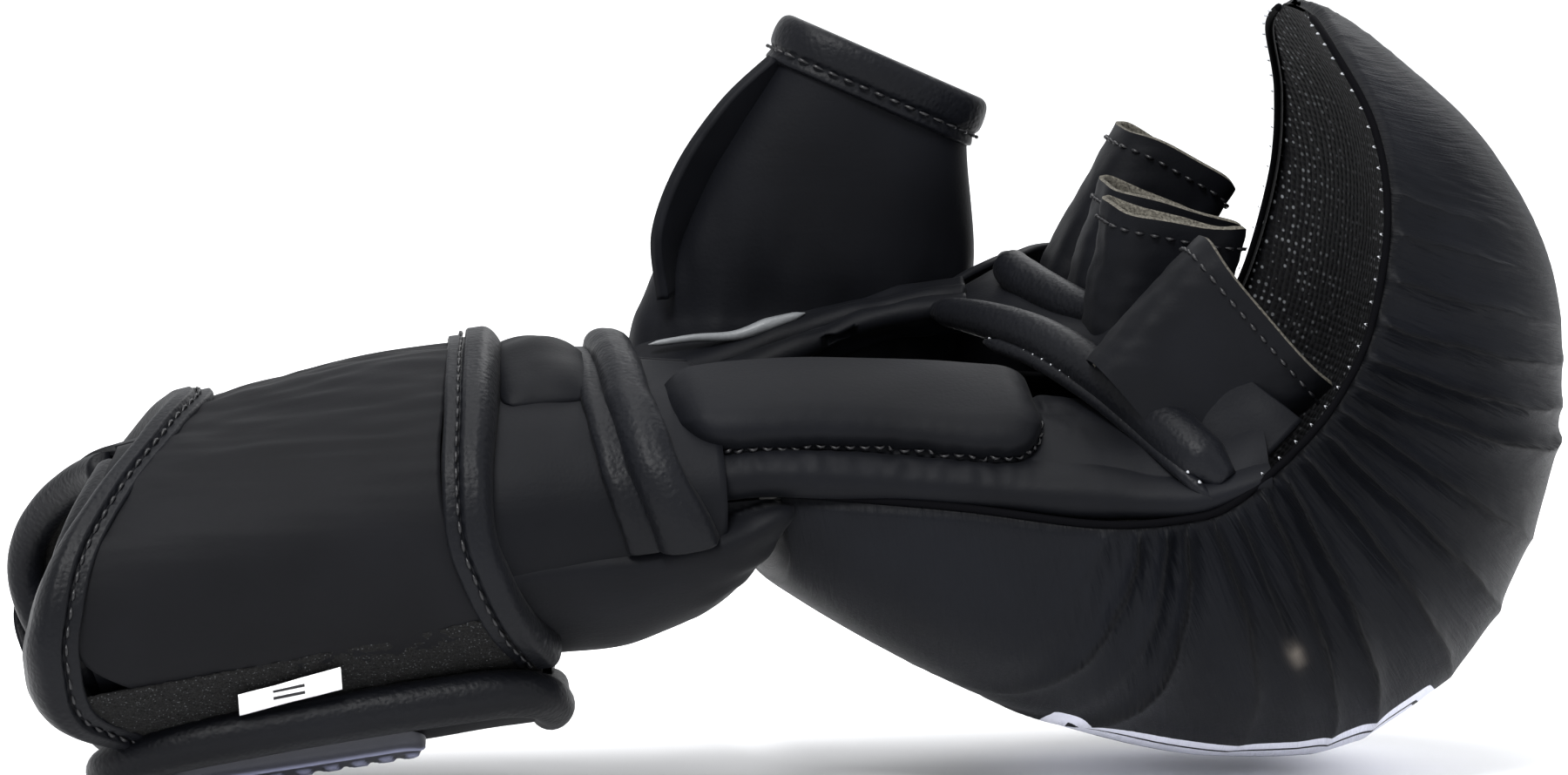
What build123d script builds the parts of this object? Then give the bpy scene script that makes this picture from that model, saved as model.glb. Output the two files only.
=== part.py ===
from build123d import *
import math
import os

os.makedirs("parts", exist_ok=True)

# A left-hand grappling glove with a fist pad, lying on its back.
# Millimetres and degrees. +X runs from the wrist to the knuckles, +Y to the thumb side and +Z to the
# palm side. The origin is on the surface that the glove lies on, under the middle of its length.

# ---- Driving dimensions -------------------------------------------------------------------------
LEATHER = 1.5
LINING = 1.8
LAYER_GAP = 0.15
FOAM_EASE = 0.7
BODY_GAP = 0.35
PAD_ROUNDNESS = 2.4
SECTION_POINTS = 9

# The fist pad, from the back of the hand round to the finger tips: x and z of the seam that the hand
# side starts from, x and z of the outermost point, half the width, and the depth of the hand hollow.
PAD_STATIONS = [
    (-5, 53.5, -1.5, 35, 36, 5),
    (23, 51.5, 29, 17, 44, 9),
    (47, 49, 59.5, 5, 50, 13),
    (62, 50, 85, 2, 54, 16),
    (70.5, 53, 103, 4.5, 56, 16),
    (81.6, 62.2, 122, 19, 56, 14),
    (89.5, 71.3, 134.5, 41, 55, 12),
    (95.8, 83.6, 140, 66, 53, 10),
    (99.8, 102.2, 137.5, 90, 48, 8),
    (99, 117.8, 125, 113, 40, 6),
    (94, 131, 108, 129, 27, 3),
]
KNUCKLE_STATION = 4
PAD_TIP = (93, 136, 98, 136.5, 14)
SOFT_FOAM_SHARE = 0.45
PAD_MOUTH = -8
FOAM_RIM = 5
REAR_FOLD = 0.08
TIP_FOLD = 0.15

# The cuff round the wrist: x of the middle, z of the middle, lean, half width and half height.
CUFF_STATIONS = [
    (-130, 33.6, 11, 34, 23.5),
    (-105, 38.5, 11, 35, 24.5),
    (-80, 43.4, 11, 36, 25),
    (-55, 48, 9, 37, 25),
    (-34, 50.5, 6, 38, 24),
    (-12, 53, 0, 40, 20),
]
CUFF_WALL = 3.0
CUFF_BACK = 9.0
CUFF_LINING = 1.2
CUFF_SLIT = (84, 96)
CUFF_BACK_SPAN = (226, 314)
BINDING_RADIUS = 3.5
PALM_BINDING_X = (-29, -19)
PALM_BINDING_SPAN = (100, 205)
CLOSURE_FLAP_X = (-48, -33)
CLOSURE_FLAP_SPAN = (72, 100)

# The strap lies round the cuff in four stretches, each between two angles seen from the wrist end.
STRAP_INNER = 0.5
STRAP_THICKNESS = 5.0
STRAP_WRIST_X = -122
STRAP_HAND_X = -51
STRAP_EDGE_WIDTH = 9
STRAP_EDGE_RISE = 1.2
STRAP_NEAR = (128, 231)
STRAP_PALM = (52, 127)
STRAP_SIDE = (-42, 51)
TAB_SPAN = (236, 317)
TAB_LIFT = 6.3
TAB_DROP = 4
TAB_THICKNESS = 5.2
TAB_RIM = 6
TAB_RIM_DEGREES = 10
TAB_WRIST_X = -117
TAB_HAND_X = -44
HOOK_TAPE_END = 286
HOOK_TAPE = 1.0
PATCH_SPAN = (254, 288)
PATCH_INSET = (10, 14)
PATCH = 1.0
STRETCH_GAP = 0.4
LOOP_TAPE_SPAN = (214, 229)
LOOP_TAPE = 0.6
SIZE_LABEL_X = (-96, -79)
SIZE_LABEL_SPAN = (204, 213)
SIZE_LABEL = 0.45

# The hand part between the cuff and the knuckles, above the pad seam: x, seam z, half width, height.
PALM_STATIONS = [
    (-11, 53.6, 40, 20),
    (10, 52.5, 42, 21),
    (30, 51, 45, 22),
    (50, 50.5, 49, 24),
    (64, 51.5, 53, 26),
]
PALM_WALL = 2.2
PALM_NEAR_SPAN = (121, 179)
PALM_FAR_SPAN = (1, 37)
PALM_RELIEF_FOOT = (59, 51)
PALM_RELIEF_HEAD = (35, 73)
SIDE_PAD_SPAN = (122, 154)
SIDE_PAD_X = (-10, 38)
SIDE_PAD_RISE = 6

# Rolled leather edges of the palm, each a list of points along its middle.
PALM_ROLL = [(75, -49, 53), (63, -44, 64), (55, -34, 71), (45, -15, 76.5), (36, 10, 78)]
PALM_ROLL_RADIUS = 4.2
WEB_ROLL = [(42, 21, 87), (44.5, 13, 86), (45.5, 3, 83)]
WEB_ROLL_RADIUS = 3.4

# The leather from the palm roll to the finger stalls: y, then x and z of its two long edges.
FINGER_PANEL = [
    (-33, (56, 76.2), (57, 77.6)),
    (-20, (51.5, 79), (52, 80)),
    (-5, (46.5, 78), (50, 80)),
    (12, (44.5, 77.5), (49.8, 80)),
    (26, (46, 79), (51, 83.5)),
    (44, (47, 80), (52, 85)),
]
FINGER_PANEL_THICKNESS = 1.6

# Finger stalls: y of the middle, then x and z of the free edge on the palm side and on the back.
STALL_WIDTH = 21.6
STALL_WALL = 1.3
STALL_LINING = 0.8
FINGERS = {
    "little": (-36, (68, 98), (91, 71), 17),
    "ring": (-12.2, (56, 102.5), (81, 97), 20),
    "middle": (11.4, (60, 104.5), (86, 95), 23),
    "index": (34.6, (68, 113), (89, 100.5), 30),
}

# Thumb sheath: middle (x, y, z), width along X and thickness along Y, from the base to the free edge.
THUMB_STATIONS = [
    ((12, 43.5, 80.5), 59, 25, 0),
    ((15, 42, 92), 55, 26, -8),
    ((19, 40.5, 105), 48, 25, -17),
    ((22.4, 39.5, 117.2), 40, 23.5, -23),
]
THUMB_WALL = 1.6
THUMB_FOAM = 3.0
THUMB_LINING = 0.8
THUMB_BINDING = 2.4
THUMB_BINDING_HEIGHT = 5.5
GUSSET_STATIONS = [
    ((8, 43.5, 76.3), 59, 25, 0),
    ((5, 42, 66), 58, 24, 0),
]


# ---- Curves and lofts ---------------------------------------------------------------------------
def run(points):
    """A straight edge through two points, or a smooth one through more."""
    if len(points) == 2:
        return Edge.make_line(points[0], points[1])
    return Edge.make_spline([Vector(*p) for p in points])


def outline(*runs):
    """A closed wire of runs that each start where the last one ended."""
    return Wire([run(points) for points in runs])


def band_section(lower, upper):
    """The closed wire between two rows of points that run the same way."""
    back = list(reversed(upper))
    return outline(lower, [lower[-1], back[0]], back, [back[-1], lower[0]])


def spread(start, end, count=SECTION_POINTS):
    """Evenly spread values from start to end."""
    return [start + (end - start) * i / (count - 1) for i in range(count)]


def stops(stations, x_start, x_end):
    """The two ends of a stretch and every station between them."""
    between = [station[0] for station in stations if x_start + 1 < station[0] < x_end - 1]
    return [x_start, *between, x_end]


def mix(a, b, share):
    """The values part of the way from one row to another."""
    return tuple(p + (q - p) * share for p, q in zip(a, b))


def station_at(stations, x):
    """The values of a list of stations at one x, straight between neighbours."""
    for first, second in zip(stations, stations[1:]):
        if x <= second[0]:
            break
    return mix(first, second, (x - first[0]) / (second[0] - first[0]))


def tube(points, radius, ends=1.0):
    """A round roll along the points, with ends scaled by the last argument."""
    middle = [Vector(*p) for p in points]
    wires = []
    for i, centre in enumerate(middle):
        ahead = middle[min(i + 1, len(middle) - 1)]
        behind = middle[max(i - 1, 0)]
        size = radius * (ends if i in (0, len(middle) - 1) else 1.0)
        place = Plane(origin=centre, x_dir=(0, 0, 1), z_dir=(ahead - behind).normalized())
        wires.append(Wire.make_circle(size, place))
    return Solid.make_loft(wires)


def polar(length, degrees):
    """A vector in the XZ plane, at an angle up from +X."""
    angle = math.radians(degrees)
    return Vector(length * math.cos(angle), 0, length * math.sin(angle))


def keep(shape, plane, side):
    """The part of a shape on one side of a plane."""
    return split(shape, bisect_by=plane, keep=side)


# ---- Fist pad -----------------------------------------------------------------------------------
def pad_point(station, across, out):
    """A point of a pad section, out from the seam line and across the hand."""
    seam = Vector(station[0], 0, station[1])
    outward = (Vector(station[2], 0, station[3]) - seam).normalized()
    return tuple(seam + outward * out + Vector(0, across, 0))


def pad_depth(station):
    """How far the pad reaches out from the seam."""
    return math.hypot(station[2] - station[0], station[3] - station[1])


def bow(half_width, height, count=13):
    """Points of a full, rounded bow from one side to the other."""
    points = []
    for t in spread(math.pi, 0, count):
        across = half_width * math.copysign(abs(math.cos(t)) ** (2 / PAD_ROUNDNESS), math.cos(t))
        points.append((across, height * abs(math.sin(t)) ** (2 / PAD_ROUNDNESS)))
    return points


def bow_height(station, across, inset):
    """How far out the pad's surface is, with the skin taken off, at one place across."""
    share = abs(across) / (station[4] - inset)
    height = pad_depth(station) - inset
    return height * (1 - share ** PAD_ROUNDNESS) ** (1 / PAD_ROUNDNESS)


def hollow(station, across):
    """How deep the hand hollow is at one place across."""
    return station[5] * (1 - (across / station[4]) ** 2)


def pad_outer():
    """The whole outside of the pad, with the hand hollow and a rounded tip."""
    wires = []
    for station in PAD_STATIONS:
        over = [pad_point(station, a, o) for a, o in bow(station[4], pad_depth(station))]
        under = [pad_point(station, a, hollow(station, a)) for a in spread(station[4], -station[4])]
        wires.append(outline(over, under))
    tip = PAD_TIP
    over = [pad_point(tip, a, o) for a, o in bow(tip[4], pad_depth(tip))]
    under = [pad_point(tip, a, 0.5 * (1 - (a / tip[4]) ** 2)) for a in spread(tip[4], -tip[4])]
    wires.append(outline(over, under))
    return Solid.make_loft(wires, ruled=True)


def pad_core():
    """What the pad's leather goes round: the outside less the leather, open to the hand."""
    wires = []
    for i, station in enumerate(PAD_STATIONS):
        if i == 0:
            station = mix(station, PAD_STATIONS[1], REAR_FOLD)
        half = station[4] - LEATHER
        over = [pad_point(station, a, o) for a, o in bow(half, pad_depth(station) - LEATHER)]
        left = pad_point(station, -half, PAD_MOUTH)
        right = pad_point(station, half, PAD_MOUTH)
        wires.append(outline(over, [over[-1], right], [right, left], [left, over[0]]))
    return Solid.make_loft(wires, ruled=True)


def pad_layer(low, high, rim):
    """A layer of the pad between two depths, each a function of the station and the place across."""
    wires = []
    for i, station in enumerate(PAD_STATIONS):
        if i == 0:
            station = mix(station, PAD_STATIONS[1], REAR_FOLD)
        if i == len(PAD_STATIONS) - 1:
            station = mix(station, PAD_STATIONS[-2], TIP_FOLD)
        places = spread(-(station[4] - rim), station[4] - rim)
        lower = [pad_point(station, a, low(station, a)) for a in places]
        upper = [pad_point(station, a, high(station, a)) for a in places]
        wires.append(band_section(lower, upper))
    return Solid.make_loft(wires, ruled=True)


def foam_level(share):
    """A depth in the foam, from 0 at the lining to 1 under the leather."""
    def depth(station, across):
        low = hollow(station, across) + LINING + LAYER_GAP
        high = bow_height(station, across, LEATHER + FOAM_EASE)
        return low + max(high - low, 0.5) * share
    return depth


def knuckle_plane(offset):
    """The plane across the pad at the knuckles, moved towards the finger tips by the offset."""
    seam = Vector(PAD_STATIONS[KNUCKLE_STATION][0], 0, PAD_STATIONS[KNUCKLE_STATION][1])
    outer = Vector(PAD_STATIONS[KNUCKLE_STATION][2], 0, PAD_STATIONS[KNUCKLE_STATION][3])
    along = (outer - seam).normalized()
    normal = Vector(-along.Z, 0, along.X)
    return Plane(origin=seam + normal * offset, x_dir=(0, 1, 0), z_dir=normal)


def back_and_knuckles(shape):
    """The two parts of a pad layer, on the back of the hand and over the knuckles."""
    back = keep(shape, knuckle_plane(-BODY_GAP / 2), Keep.BOTTOM)
    knuckles = keep(shape, knuckle_plane(BODY_GAP / 2), Keep.TOP)
    return back, knuckles


def pad_nodes():
    """Leather, two foams and the lining, each in a back part and a knuckle part."""
    cover = pad_outer() - pad_core()
    dense_low = foam_level(SOFT_FOAM_SHARE)
    soft = pad_layer(foam_level(0), lambda s, a: dense_low(s, a) - LAYER_GAP, FOAM_RIM)
    dense = pad_layer(dense_low, foam_level(1), FOAM_RIM)
    lining = pad_layer(hollow, lambda s, a: hollow(s, a) + LINING, LEATHER + 0.2)
    nodes = {}
    layers = {"cover": cover, "soft_foam": soft, "dense_foam": dense}
    for name, shape in layers.items():
        nodes["back_" + name], nodes["knuckle_" + name] = back_and_knuckles(shape)
    nodes["back_lining"], nodes["knuckle_mesh_lining"] = back_and_knuckles(lining)
    return nodes


# ---- Cuff ---------------------------------------------------------------------------------------
def cuff_point(x, degrees, offset):
    """A point round the wrist, at an angle from the thumb side, off the cuff's outside."""
    station = station_at(CUFF_STATIONS, x)
    angle = math.radians(degrees)
    up = (station[4] + offset) * math.sin(angle)
    lean = math.radians(station[2])
    along = x - up * math.sin(lean)
    return (along, (station[3] + offset) * math.cos(angle), station[1] + up * math.cos(lean))


def cuff_band(x_start, x_end, span, inner, outer):
    """A curved sheet round part of the wrist, between two offsets from the cuff's outside."""
    wires = []
    for x in stops(CUFF_STATIONS, x_start, x_end):
        angles = spread(span[0], span[1])
        lower = [cuff_point(x, a, inner) for a in angles]
        upper = [cuff_point(x, a, outer) for a in angles]
        wires.append(band_section(lower, upper))
    return Solid.make_loft(wires, ruled=True)


def cuff_nodes():
    """Walls, back pad, linings, bindings and closure of the cuff."""
    wrist, hand = CUFF_STATIONS[0][0], CUFF_STATIONS[-1][0]
    near = (CUFF_SLIT[1], CUFF_BACK_SPAN[0] - 0.5)
    far = (CUFF_BACK_SPAN[1] - 360 + 0.5, CUFF_SLIT[0])
    lining_outer = -CUFF_WALL - LAYER_GAP
    lining_inner = lining_outer - CUFF_LINING
    back_foam_outer = -LEATHER - LAYER_GAP
    back_foam_inner = -CUFF_BACK + CUFF_LINING
    back_lining_outer = back_foam_inner - LAYER_GAP
    end_angles = spread(CUFF_SLIT[1] + 4, 360 + CUFF_SLIT[0] - 4, 15)
    end_line = [cuff_point(wrist - BINDING_RADIUS - 0.5, a, -CUFF_WALL / 2) for a in end_angles]
    return {
        "cuff_near_wall": cuff_band(wrist, hand, near, -CUFF_WALL, 0),
        "cuff_thumb_wall": cuff_band(wrist, hand, far, -CUFF_WALL, 0),
        "cuff_near_lining": cuff_band(wrist, hand, near, lining_inner, lining_outer),
        "cuff_thumb_lining": cuff_band(wrist, hand, far, lining_inner, lining_outer),
        "cuff_back_cover": cuff_band(wrist, hand, CUFF_BACK_SPAN, -LEATHER, 0),
        "cuff_back_foam": cuff_band(wrist, hand, CUFF_BACK_SPAN, back_foam_inner, back_foam_outer),
        "cuff_back_lining": cuff_band(wrist, hand, CUFF_BACK_SPAN, -CUFF_BACK, back_lining_outer),
        "cuff_end_binding": tube(end_line, BINDING_RADIUS),
        "cuff_palm_binding": cuff_band(*PALM_BINDING_X, PALM_BINDING_SPAN, 0.1, 2.2),
        "cuff_closure_flap": cuff_band(*CLOSURE_FLAP_X, CLOSURE_FLAP_SPAN, 0.4, 2.3),
    }


# ---- Strap --------------------------------------------------------------------------------------
def strap_stretch(span):
    """Leather, foam and the two bound edges of one stretch of the strap."""
    top = STRAP_INNER + STRAP_THICKNESS
    wrist, hand, edge = STRAP_WRIST_X, STRAP_HAND_X, STRAP_EDGE_WIDTH
    inside = (wrist + edge + 0.2, hand - edge - 0.2)
    return {
        "leather": cuff_band(*inside, span, top - LEATHER, top),
        "foam": cuff_band(*inside, span, STRAP_INNER, top - LEATHER - LAYER_GAP),
        "wrist_binding": cuff_band(wrist, wrist + edge, span, STRAP_INNER, top + STRAP_EDGE_RISE),
        "hand_binding": cuff_band(hand - edge, hand, span, STRAP_INNER, top + STRAP_EDGE_RISE),
    }


def strap_nodes():
    """The fixed stretch and the two moving stretches before the tab."""
    nodes = {}
    stretches = {
        "strap_near": (STRAP_NEAR[0], STRAP_NEAR[1]),
        "strap_palm": (STRAP_PALM[0], STRAP_PALM[1] + STRETCH_GAP),
        "strap_side": (STRAP_SIDE[0], STRAP_SIDE[1] + STRETCH_GAP),
    }
    for name, span in stretches.items():
        for piece, shape in strap_stretch(span).items():
            nodes[name + "_" + piece] = shape
    return nodes


def tab_band(x_start, x_end, span, low, high):
    """A stretch of the tab, which hangs a little lower towards the hand."""
    wires = []
    for x in stops(CUFF_STATIONS, x_start, x_end):
        drop = TAB_DROP * (x - TAB_WRIST_X) / (TAB_HAND_X - TAB_WRIST_X)
        angles = spread(span[0], span[1])
        lower = [cuff_point(x, a, low + drop) for a in angles]
        upper = [cuff_point(x, a, high + drop) for a in angles]
        wires.append(band_section(lower, upper))
    return Solid.make_loft(wires, ruled=True)


def tab_nodes():
    """The strap's end, with a rolled rim, hook tape inside and a rubber patch outside."""
    low = TAB_LIFT
    top = low + TAB_THICKNESS
    inside = (TAB_WRIST_X + TAB_RIM, TAB_HAND_X - TAB_RIM)
    start, end = TAB_SPAN
    rim_inside = start + TAB_RIM_DEGREES
    rim = tab_band(TAB_WRIST_X, TAB_HAND_X, TAB_SPAN, low - 0.3, top + 1.1)
    hole = tab_band(inside[0] - 0.2, inside[1] + 0.2, (rim_inside - 0.5, end + 5), low - 2, top + 3)
    patch_x = (inside[0] + PATCH_INSET[0], inside[1] - PATCH_INSET[1])
    patch_low = top + 0.05
    return {
        "tab_leather": tab_band(*inside, (rim_inside, end), top - LEATHER, top),
        "tab_foam": tab_band(*inside, (rim_inside, end), low + 1.2, top - LEATHER - LAYER_GAP),
        "tab_hook_tape": tab_band(*inside, (rim_inside, HOOK_TAPE_END), low, low + HOOK_TAPE),
        "tab_rolled_rim": rim - hole,
        "tab_rubber_patch": tab_band(*patch_x, PATCH_SPAN, patch_low, patch_low + PATCH),
    }


def loop_and_label_nodes():
    """Loop tape on the fixed stretch, and the size label sewn beside it."""
    low = STRAP_INNER + STRAP_THICKNESS + 0.05
    inside = (STRAP_WRIST_X + STRAP_EDGE_WIDTH + 2, STRAP_HAND_X - STRAP_EDGE_WIDTH - 2)
    return {
        "strap_loop_tape": cuff_band(*inside, LOOP_TAPE_SPAN, low, low + LOOP_TAPE),
        "size_label": cuff_band(*SIZE_LABEL_X, SIZE_LABEL_SPAN, low, low + SIZE_LABEL),
    }


# ---- Palm ---------------------------------------------------------------------------------------
def palm_point(x, degrees, offset):
    """A point of the hand part above the seam, at an angle from the thumb side."""
    station = station_at(PALM_STATIONS, x)
    angle = math.radians(degrees)
    side = (station[2] + offset) * math.cos(angle)
    return (x, side, station[1] + (station[3] + offset) * math.sin(angle))


def palm_band(x_start, x_end, span, inner, outer):
    """A curved sheet of the hand part; inner and outer are offsets from its outside."""
    wires = []
    for x in stops(PALM_STATIONS, x_start, x_end):
        angles = spread(span[0], span[1])
        lower = [palm_point(x, a, inner) for a in angles]
        upper = [palm_point(x, a, outer) for a in angles]
        wires.append(band_section(lower, upper))
    return Solid.make_loft(wires, ruled=True)


def relief_plane():
    """The slant that leaves room for the knuckle part to close over the palm."""
    foot = Vector(PALM_RELIEF_FOOT[0], 0, PALM_RELIEF_FOOT[1])
    head = Vector(PALM_RELIEF_HEAD[0], 0, PALM_RELIEF_HEAD[1])
    along = (head - foot).normalized()
    return Plane(origin=foot, x_dir=(0, 1, 0), z_dir=Vector(along.Z, 0, -along.X))


def side_pad(rise_low, rise_high, trim):
    """The raised pad on the little finger side, thickest along its middle."""
    wires = []
    x_start, x_end = SIDE_PAD_X
    for x in sorted({*spread(x_start + trim, x_end - trim, 7), 10, 30}):
        share = (x - x_start) / (x_end - x_start)
        full = math.sin(math.pi * min(max(share, 0.04), 0.96)) ** 0.35
        angles = spread(SIDE_PAD_SPAN[0] + trim, SIDE_PAD_SPAN[1] - trim)
        lower = []
        upper = []
        for a in angles:
            place = (a - SIDE_PAD_SPAN[0]) / (SIDE_PAD_SPAN[1] - SIDE_PAD_SPAN[0])
            swell = math.sin(math.pi * min(max(place, 0.03), 0.97)) ** 0.5 * full
            lower.append(palm_point(x, a, 0.2 + rise_low * swell))
            upper.append(palm_point(x, a, 0.5 + rise_high * swell))
        wires.append(band_section(lower, upper))
    return Solid.make_loft(wires, ruled=True)


def palm_nodes():
    """Side panels, the raised side pad and the gusset under the thumb."""
    start, end = PALM_STATIONS[0][0], PALM_STATIONS[-1][0]
    near = palm_band(start, end, PALM_NEAR_SPAN, -PALM_WALL, 0)
    far = palm_band(start, end, PALM_FAR_SPAN, -PALM_WALL, 0)
    inner_rise = SIDE_PAD_RISE - LEATHER
    return {
        "palm_near_panel": keep(near, relief_plane(), Keep.BOTTOM),
        "palm_thumb_panel": keep(far, relief_plane(), Keep.BOTTOM),
        "side_pad_cover": side_pad(inner_rise + LAYER_GAP, SIDE_PAD_RISE, 0),
        "side_pad_foam": side_pad(0, inner_rise - 0.8, 2),
    }


def finger_panel():
    """The leather between the palm roll and the finger stalls."""
    wires = []
    for y, low, high in FINGER_PANEL:
        along = Vector(high[0] - low[0], 0, high[1] - low[1]).normalized()
        thick = Vector(-along.Z, 0, along.X) * FINGER_PANEL_THICKNESS
        start, end = Vector(low[0], y, low[1]), Vector(high[0], y, high[1])
        corners = [tuple(start), tuple(end), tuple(end + thick), tuple(start + thick)]
        wires.append(outline(*[[corners[i], corners[(i + 1) % 4]] for i in range(4)]))
    return Solid.make_loft(wires, ruled=True)


def roll_nodes():
    """Rolled edges of the palm opening and of the web beside the thumb."""
    return {
        "palm_roll": tube(PALM_ROLL, PALM_ROLL_RADIUS, 0.8),
        "web_roll": tube(WEB_ROLL, WEB_ROLL_RADIUS, 0.6),
        "finger_panel": finger_panel(),
    }


# ---- Finger stalls ------------------------------------------------------------------------------
def stall(y, palm_edge, back_edge, length, inset, trim):
    """One stall as a flattened tube; the inset shrinks its section and the trim its two ends."""
    palm_corner = Vector(palm_edge[0], y, palm_edge[1])
    back_corner = Vector(back_edge[0], y, back_edge[1])
    across = (back_corner - palm_corner).normalized()
    axis = Vector(-across.Z, 0, across.X)
    high = (back_corner - palm_corner).length - 2 * inset
    wide = STALL_WIDTH - 2 * inset
    start = (palm_corner + back_corner) * 0.5 - axis * (length - trim)
    place = Plane(origin=start, x_dir=across, z_dir=axis)
    corner = wide / 2 - 0.2
    return place * extrude(RectangleRounded(high, wide, corner), length - 2 * trim)


def finger_nodes():
    """A leather stall and its lining for each of the four fingers."""
    nodes = {}
    for finger, (y, palm_edge, back_edge, length) in FINGERS.items():
        shape = (y, palm_edge, back_edge, length)
        lined = STALL_WALL + LAYER_GAP
        bore = lined + STALL_LINING
        nodes[finger + "_stall"] = stall(*shape, 0, 0) - stall(*shape, STALL_WALL, -1)
        nodes[finger + "_stall_lining"] = stall(*shape, lined, 0.5) - stall(*shape, bore, -1)
    return nodes


# ---- Thumb --------------------------------------------------------------------------------------
def thumb_half(stations, side, inner, outer):
    """One half of the flattened thumb tube, on the palm side (-1) or the outside (1)."""
    wires = []
    for centre, width, thickness, lean in stations:
        slope = math.radians(lean)
        lower = []
        upper = []
        for degrees in spread(1.5, 178.5):
            angle = math.radians(degrees)
            for row, offset in ((lower, inner), (upper, outer)):
                along = (width / 2 + offset) * math.cos(angle)
                row.append((
                    centre[0] + along * math.cos(slope),
                    centre[1] + side * (thickness / 2 + offset) * math.sin(angle) ** 0.8,
                    centre[2] + along * math.sin(slope),
                ))
        wires.append(band_section(lower, upper))
    return Solid.make_loft(wires, ruled=True)


def thumb_nodes():
    """Leather panels, lining, foam and bound edge of the thumb, and the gusset that it stands on."""
    lined = -THUMB_WALL - LAYER_GAP
    centre, width, thickness, lean = THUMB_STATIONS[-1]
    top = Plane(origin=centre, x_dir=polar(1, lean), z_dir=polar(1, lean + 90))
    ring = Ellipse(width / 2 + 1, thickness / 2 + 1)
    ring -= Ellipse(width / 2 - THUMB_BINDING, thickness / 2 - THUMB_BINDING)
    binding = top.offset(LAYER_GAP) * extrude(ring, THUMB_BINDING_HEIGHT)
    return {
        "thumb_palm_panel": thumb_half(THUMB_STATIONS, -1, -THUMB_WALL, 0),
        "thumb_outer_panel": thumb_half(THUMB_STATIONS, 1, -THUMB_WALL, 0),
        "thumb_foam": thumb_half(THUMB_STATIONS, 1, lined - THUMB_FOAM, lined),
        "thumb_lining": thumb_half(THUMB_STATIONS, -1, lined - THUMB_LINING, lined),
        "thumb_edge_binding": binding,
        "gusset_palm_panel": thumb_half(GUSSET_STATIONS, -1, -THUMB_WALL, 0),
        "gusset_outer_panel": thumb_half(GUSSET_STATIONS, 1, -THUMB_WALL, 0),
    }


# ---- Assembly -----------------------------------------------------------------------------------
def build():
    """Every node by name."""
    nodes = {}
    nodes.update(pad_nodes())
    nodes.update(cuff_nodes())
    nodes.update(strap_nodes())
    nodes.update(tab_nodes())
    nodes.update(loop_and_label_nodes())
    nodes.update(palm_nodes())
    nodes.update(roll_nodes())
    nodes.update(finger_nodes())
    nodes.update(thumb_nodes())
    return nodes


for node, shape in build().items():
    export_step(shape, f"parts/{node}.step")
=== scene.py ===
import math

import bpy
import numpy as np
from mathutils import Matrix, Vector, noise


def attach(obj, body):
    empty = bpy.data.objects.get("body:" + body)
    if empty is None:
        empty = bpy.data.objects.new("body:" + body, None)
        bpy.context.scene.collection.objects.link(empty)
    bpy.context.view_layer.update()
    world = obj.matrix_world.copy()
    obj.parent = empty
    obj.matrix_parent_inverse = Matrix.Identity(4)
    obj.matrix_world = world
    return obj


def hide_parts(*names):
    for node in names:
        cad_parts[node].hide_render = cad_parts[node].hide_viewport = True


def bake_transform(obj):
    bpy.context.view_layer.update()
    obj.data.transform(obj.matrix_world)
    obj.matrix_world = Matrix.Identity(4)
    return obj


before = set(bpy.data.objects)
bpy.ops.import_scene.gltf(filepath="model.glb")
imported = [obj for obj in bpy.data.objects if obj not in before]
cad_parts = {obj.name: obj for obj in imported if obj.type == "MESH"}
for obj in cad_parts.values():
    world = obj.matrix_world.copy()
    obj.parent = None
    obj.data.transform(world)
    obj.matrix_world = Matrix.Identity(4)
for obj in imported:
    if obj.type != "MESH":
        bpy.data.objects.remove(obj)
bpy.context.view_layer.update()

# A left-hand grappling glove lying on its back: +X to the knuckles, +Y to the thumb side and +Z to the
# palm side. Lengths in this script are millimetres, and angles round the wrist and the palm are in
# degrees from the thumb side, with 90 on the palm side and 180 on the little finger side.
MM = 0.001
STRAP_PADDING, TAB_PADDING = 4.2, 3.0
WALL_LEATHER, SIDE_LEATHER, FINGER_LEATHER, BASE_LEATHER, FOLD_LEATHER = 1.8, 1.6, 1.5, 1.4, 1.2
THUMB_WALL, THUMB_FLAP, STALL_WALL = 2.2, 2.2, 1.4
LOOP_TAPE, HOOK_TAPE, LABEL_CLOTH = 1.0, 0.9, 0.5
DETAIL = 1.0

# The fist pad: x and z of the seam, x and z of the outermost point, half the width, and the depth of
# the hand hollow. The first rows round off its wrist end, and the last ones its tip.
PAD = [
    (-5.2, 49.5, -5.2, 47.8, 20, 0.5),
    (-6.2, 51.5, -5.2, 42.0, 31, 2),
    (-5.8, 53.0, -3.2, 36.5, 35.5, 4),
    (-4.6, 53.8, 1.5, 32.4, 37, 5),
    (23, 51.8, 29, 16.2, 44, 9),
    (47, 49, 59.5, 4.4, 50, 13),
    (62, 50, 85, 1.4, 54, 16),
    (70.5, 53, 103, 4.5, 56, 16),
    (81.6, 62.2, 122, 18.5, 56, 14),
    (89.5, 71.3, 134.5, 41, 55, 12),
    (95.8, 83.6, 140, 66, 53, 10),
    (99.8, 102.2, 138, 90, 48, 8),
    (99, 117.8, 126, 113, 40, 6),
    (94.5, 130.5, 109, 129, 27, 3),
    (93.5, 135.5, 99, 136.3, 13, 0.5),
    (93.0, 136.6, 93.6, 136.9, 4, 0),
]
PAD_KNUCKLE = 7
PAD_ROUNDNESS = 2.45
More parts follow.
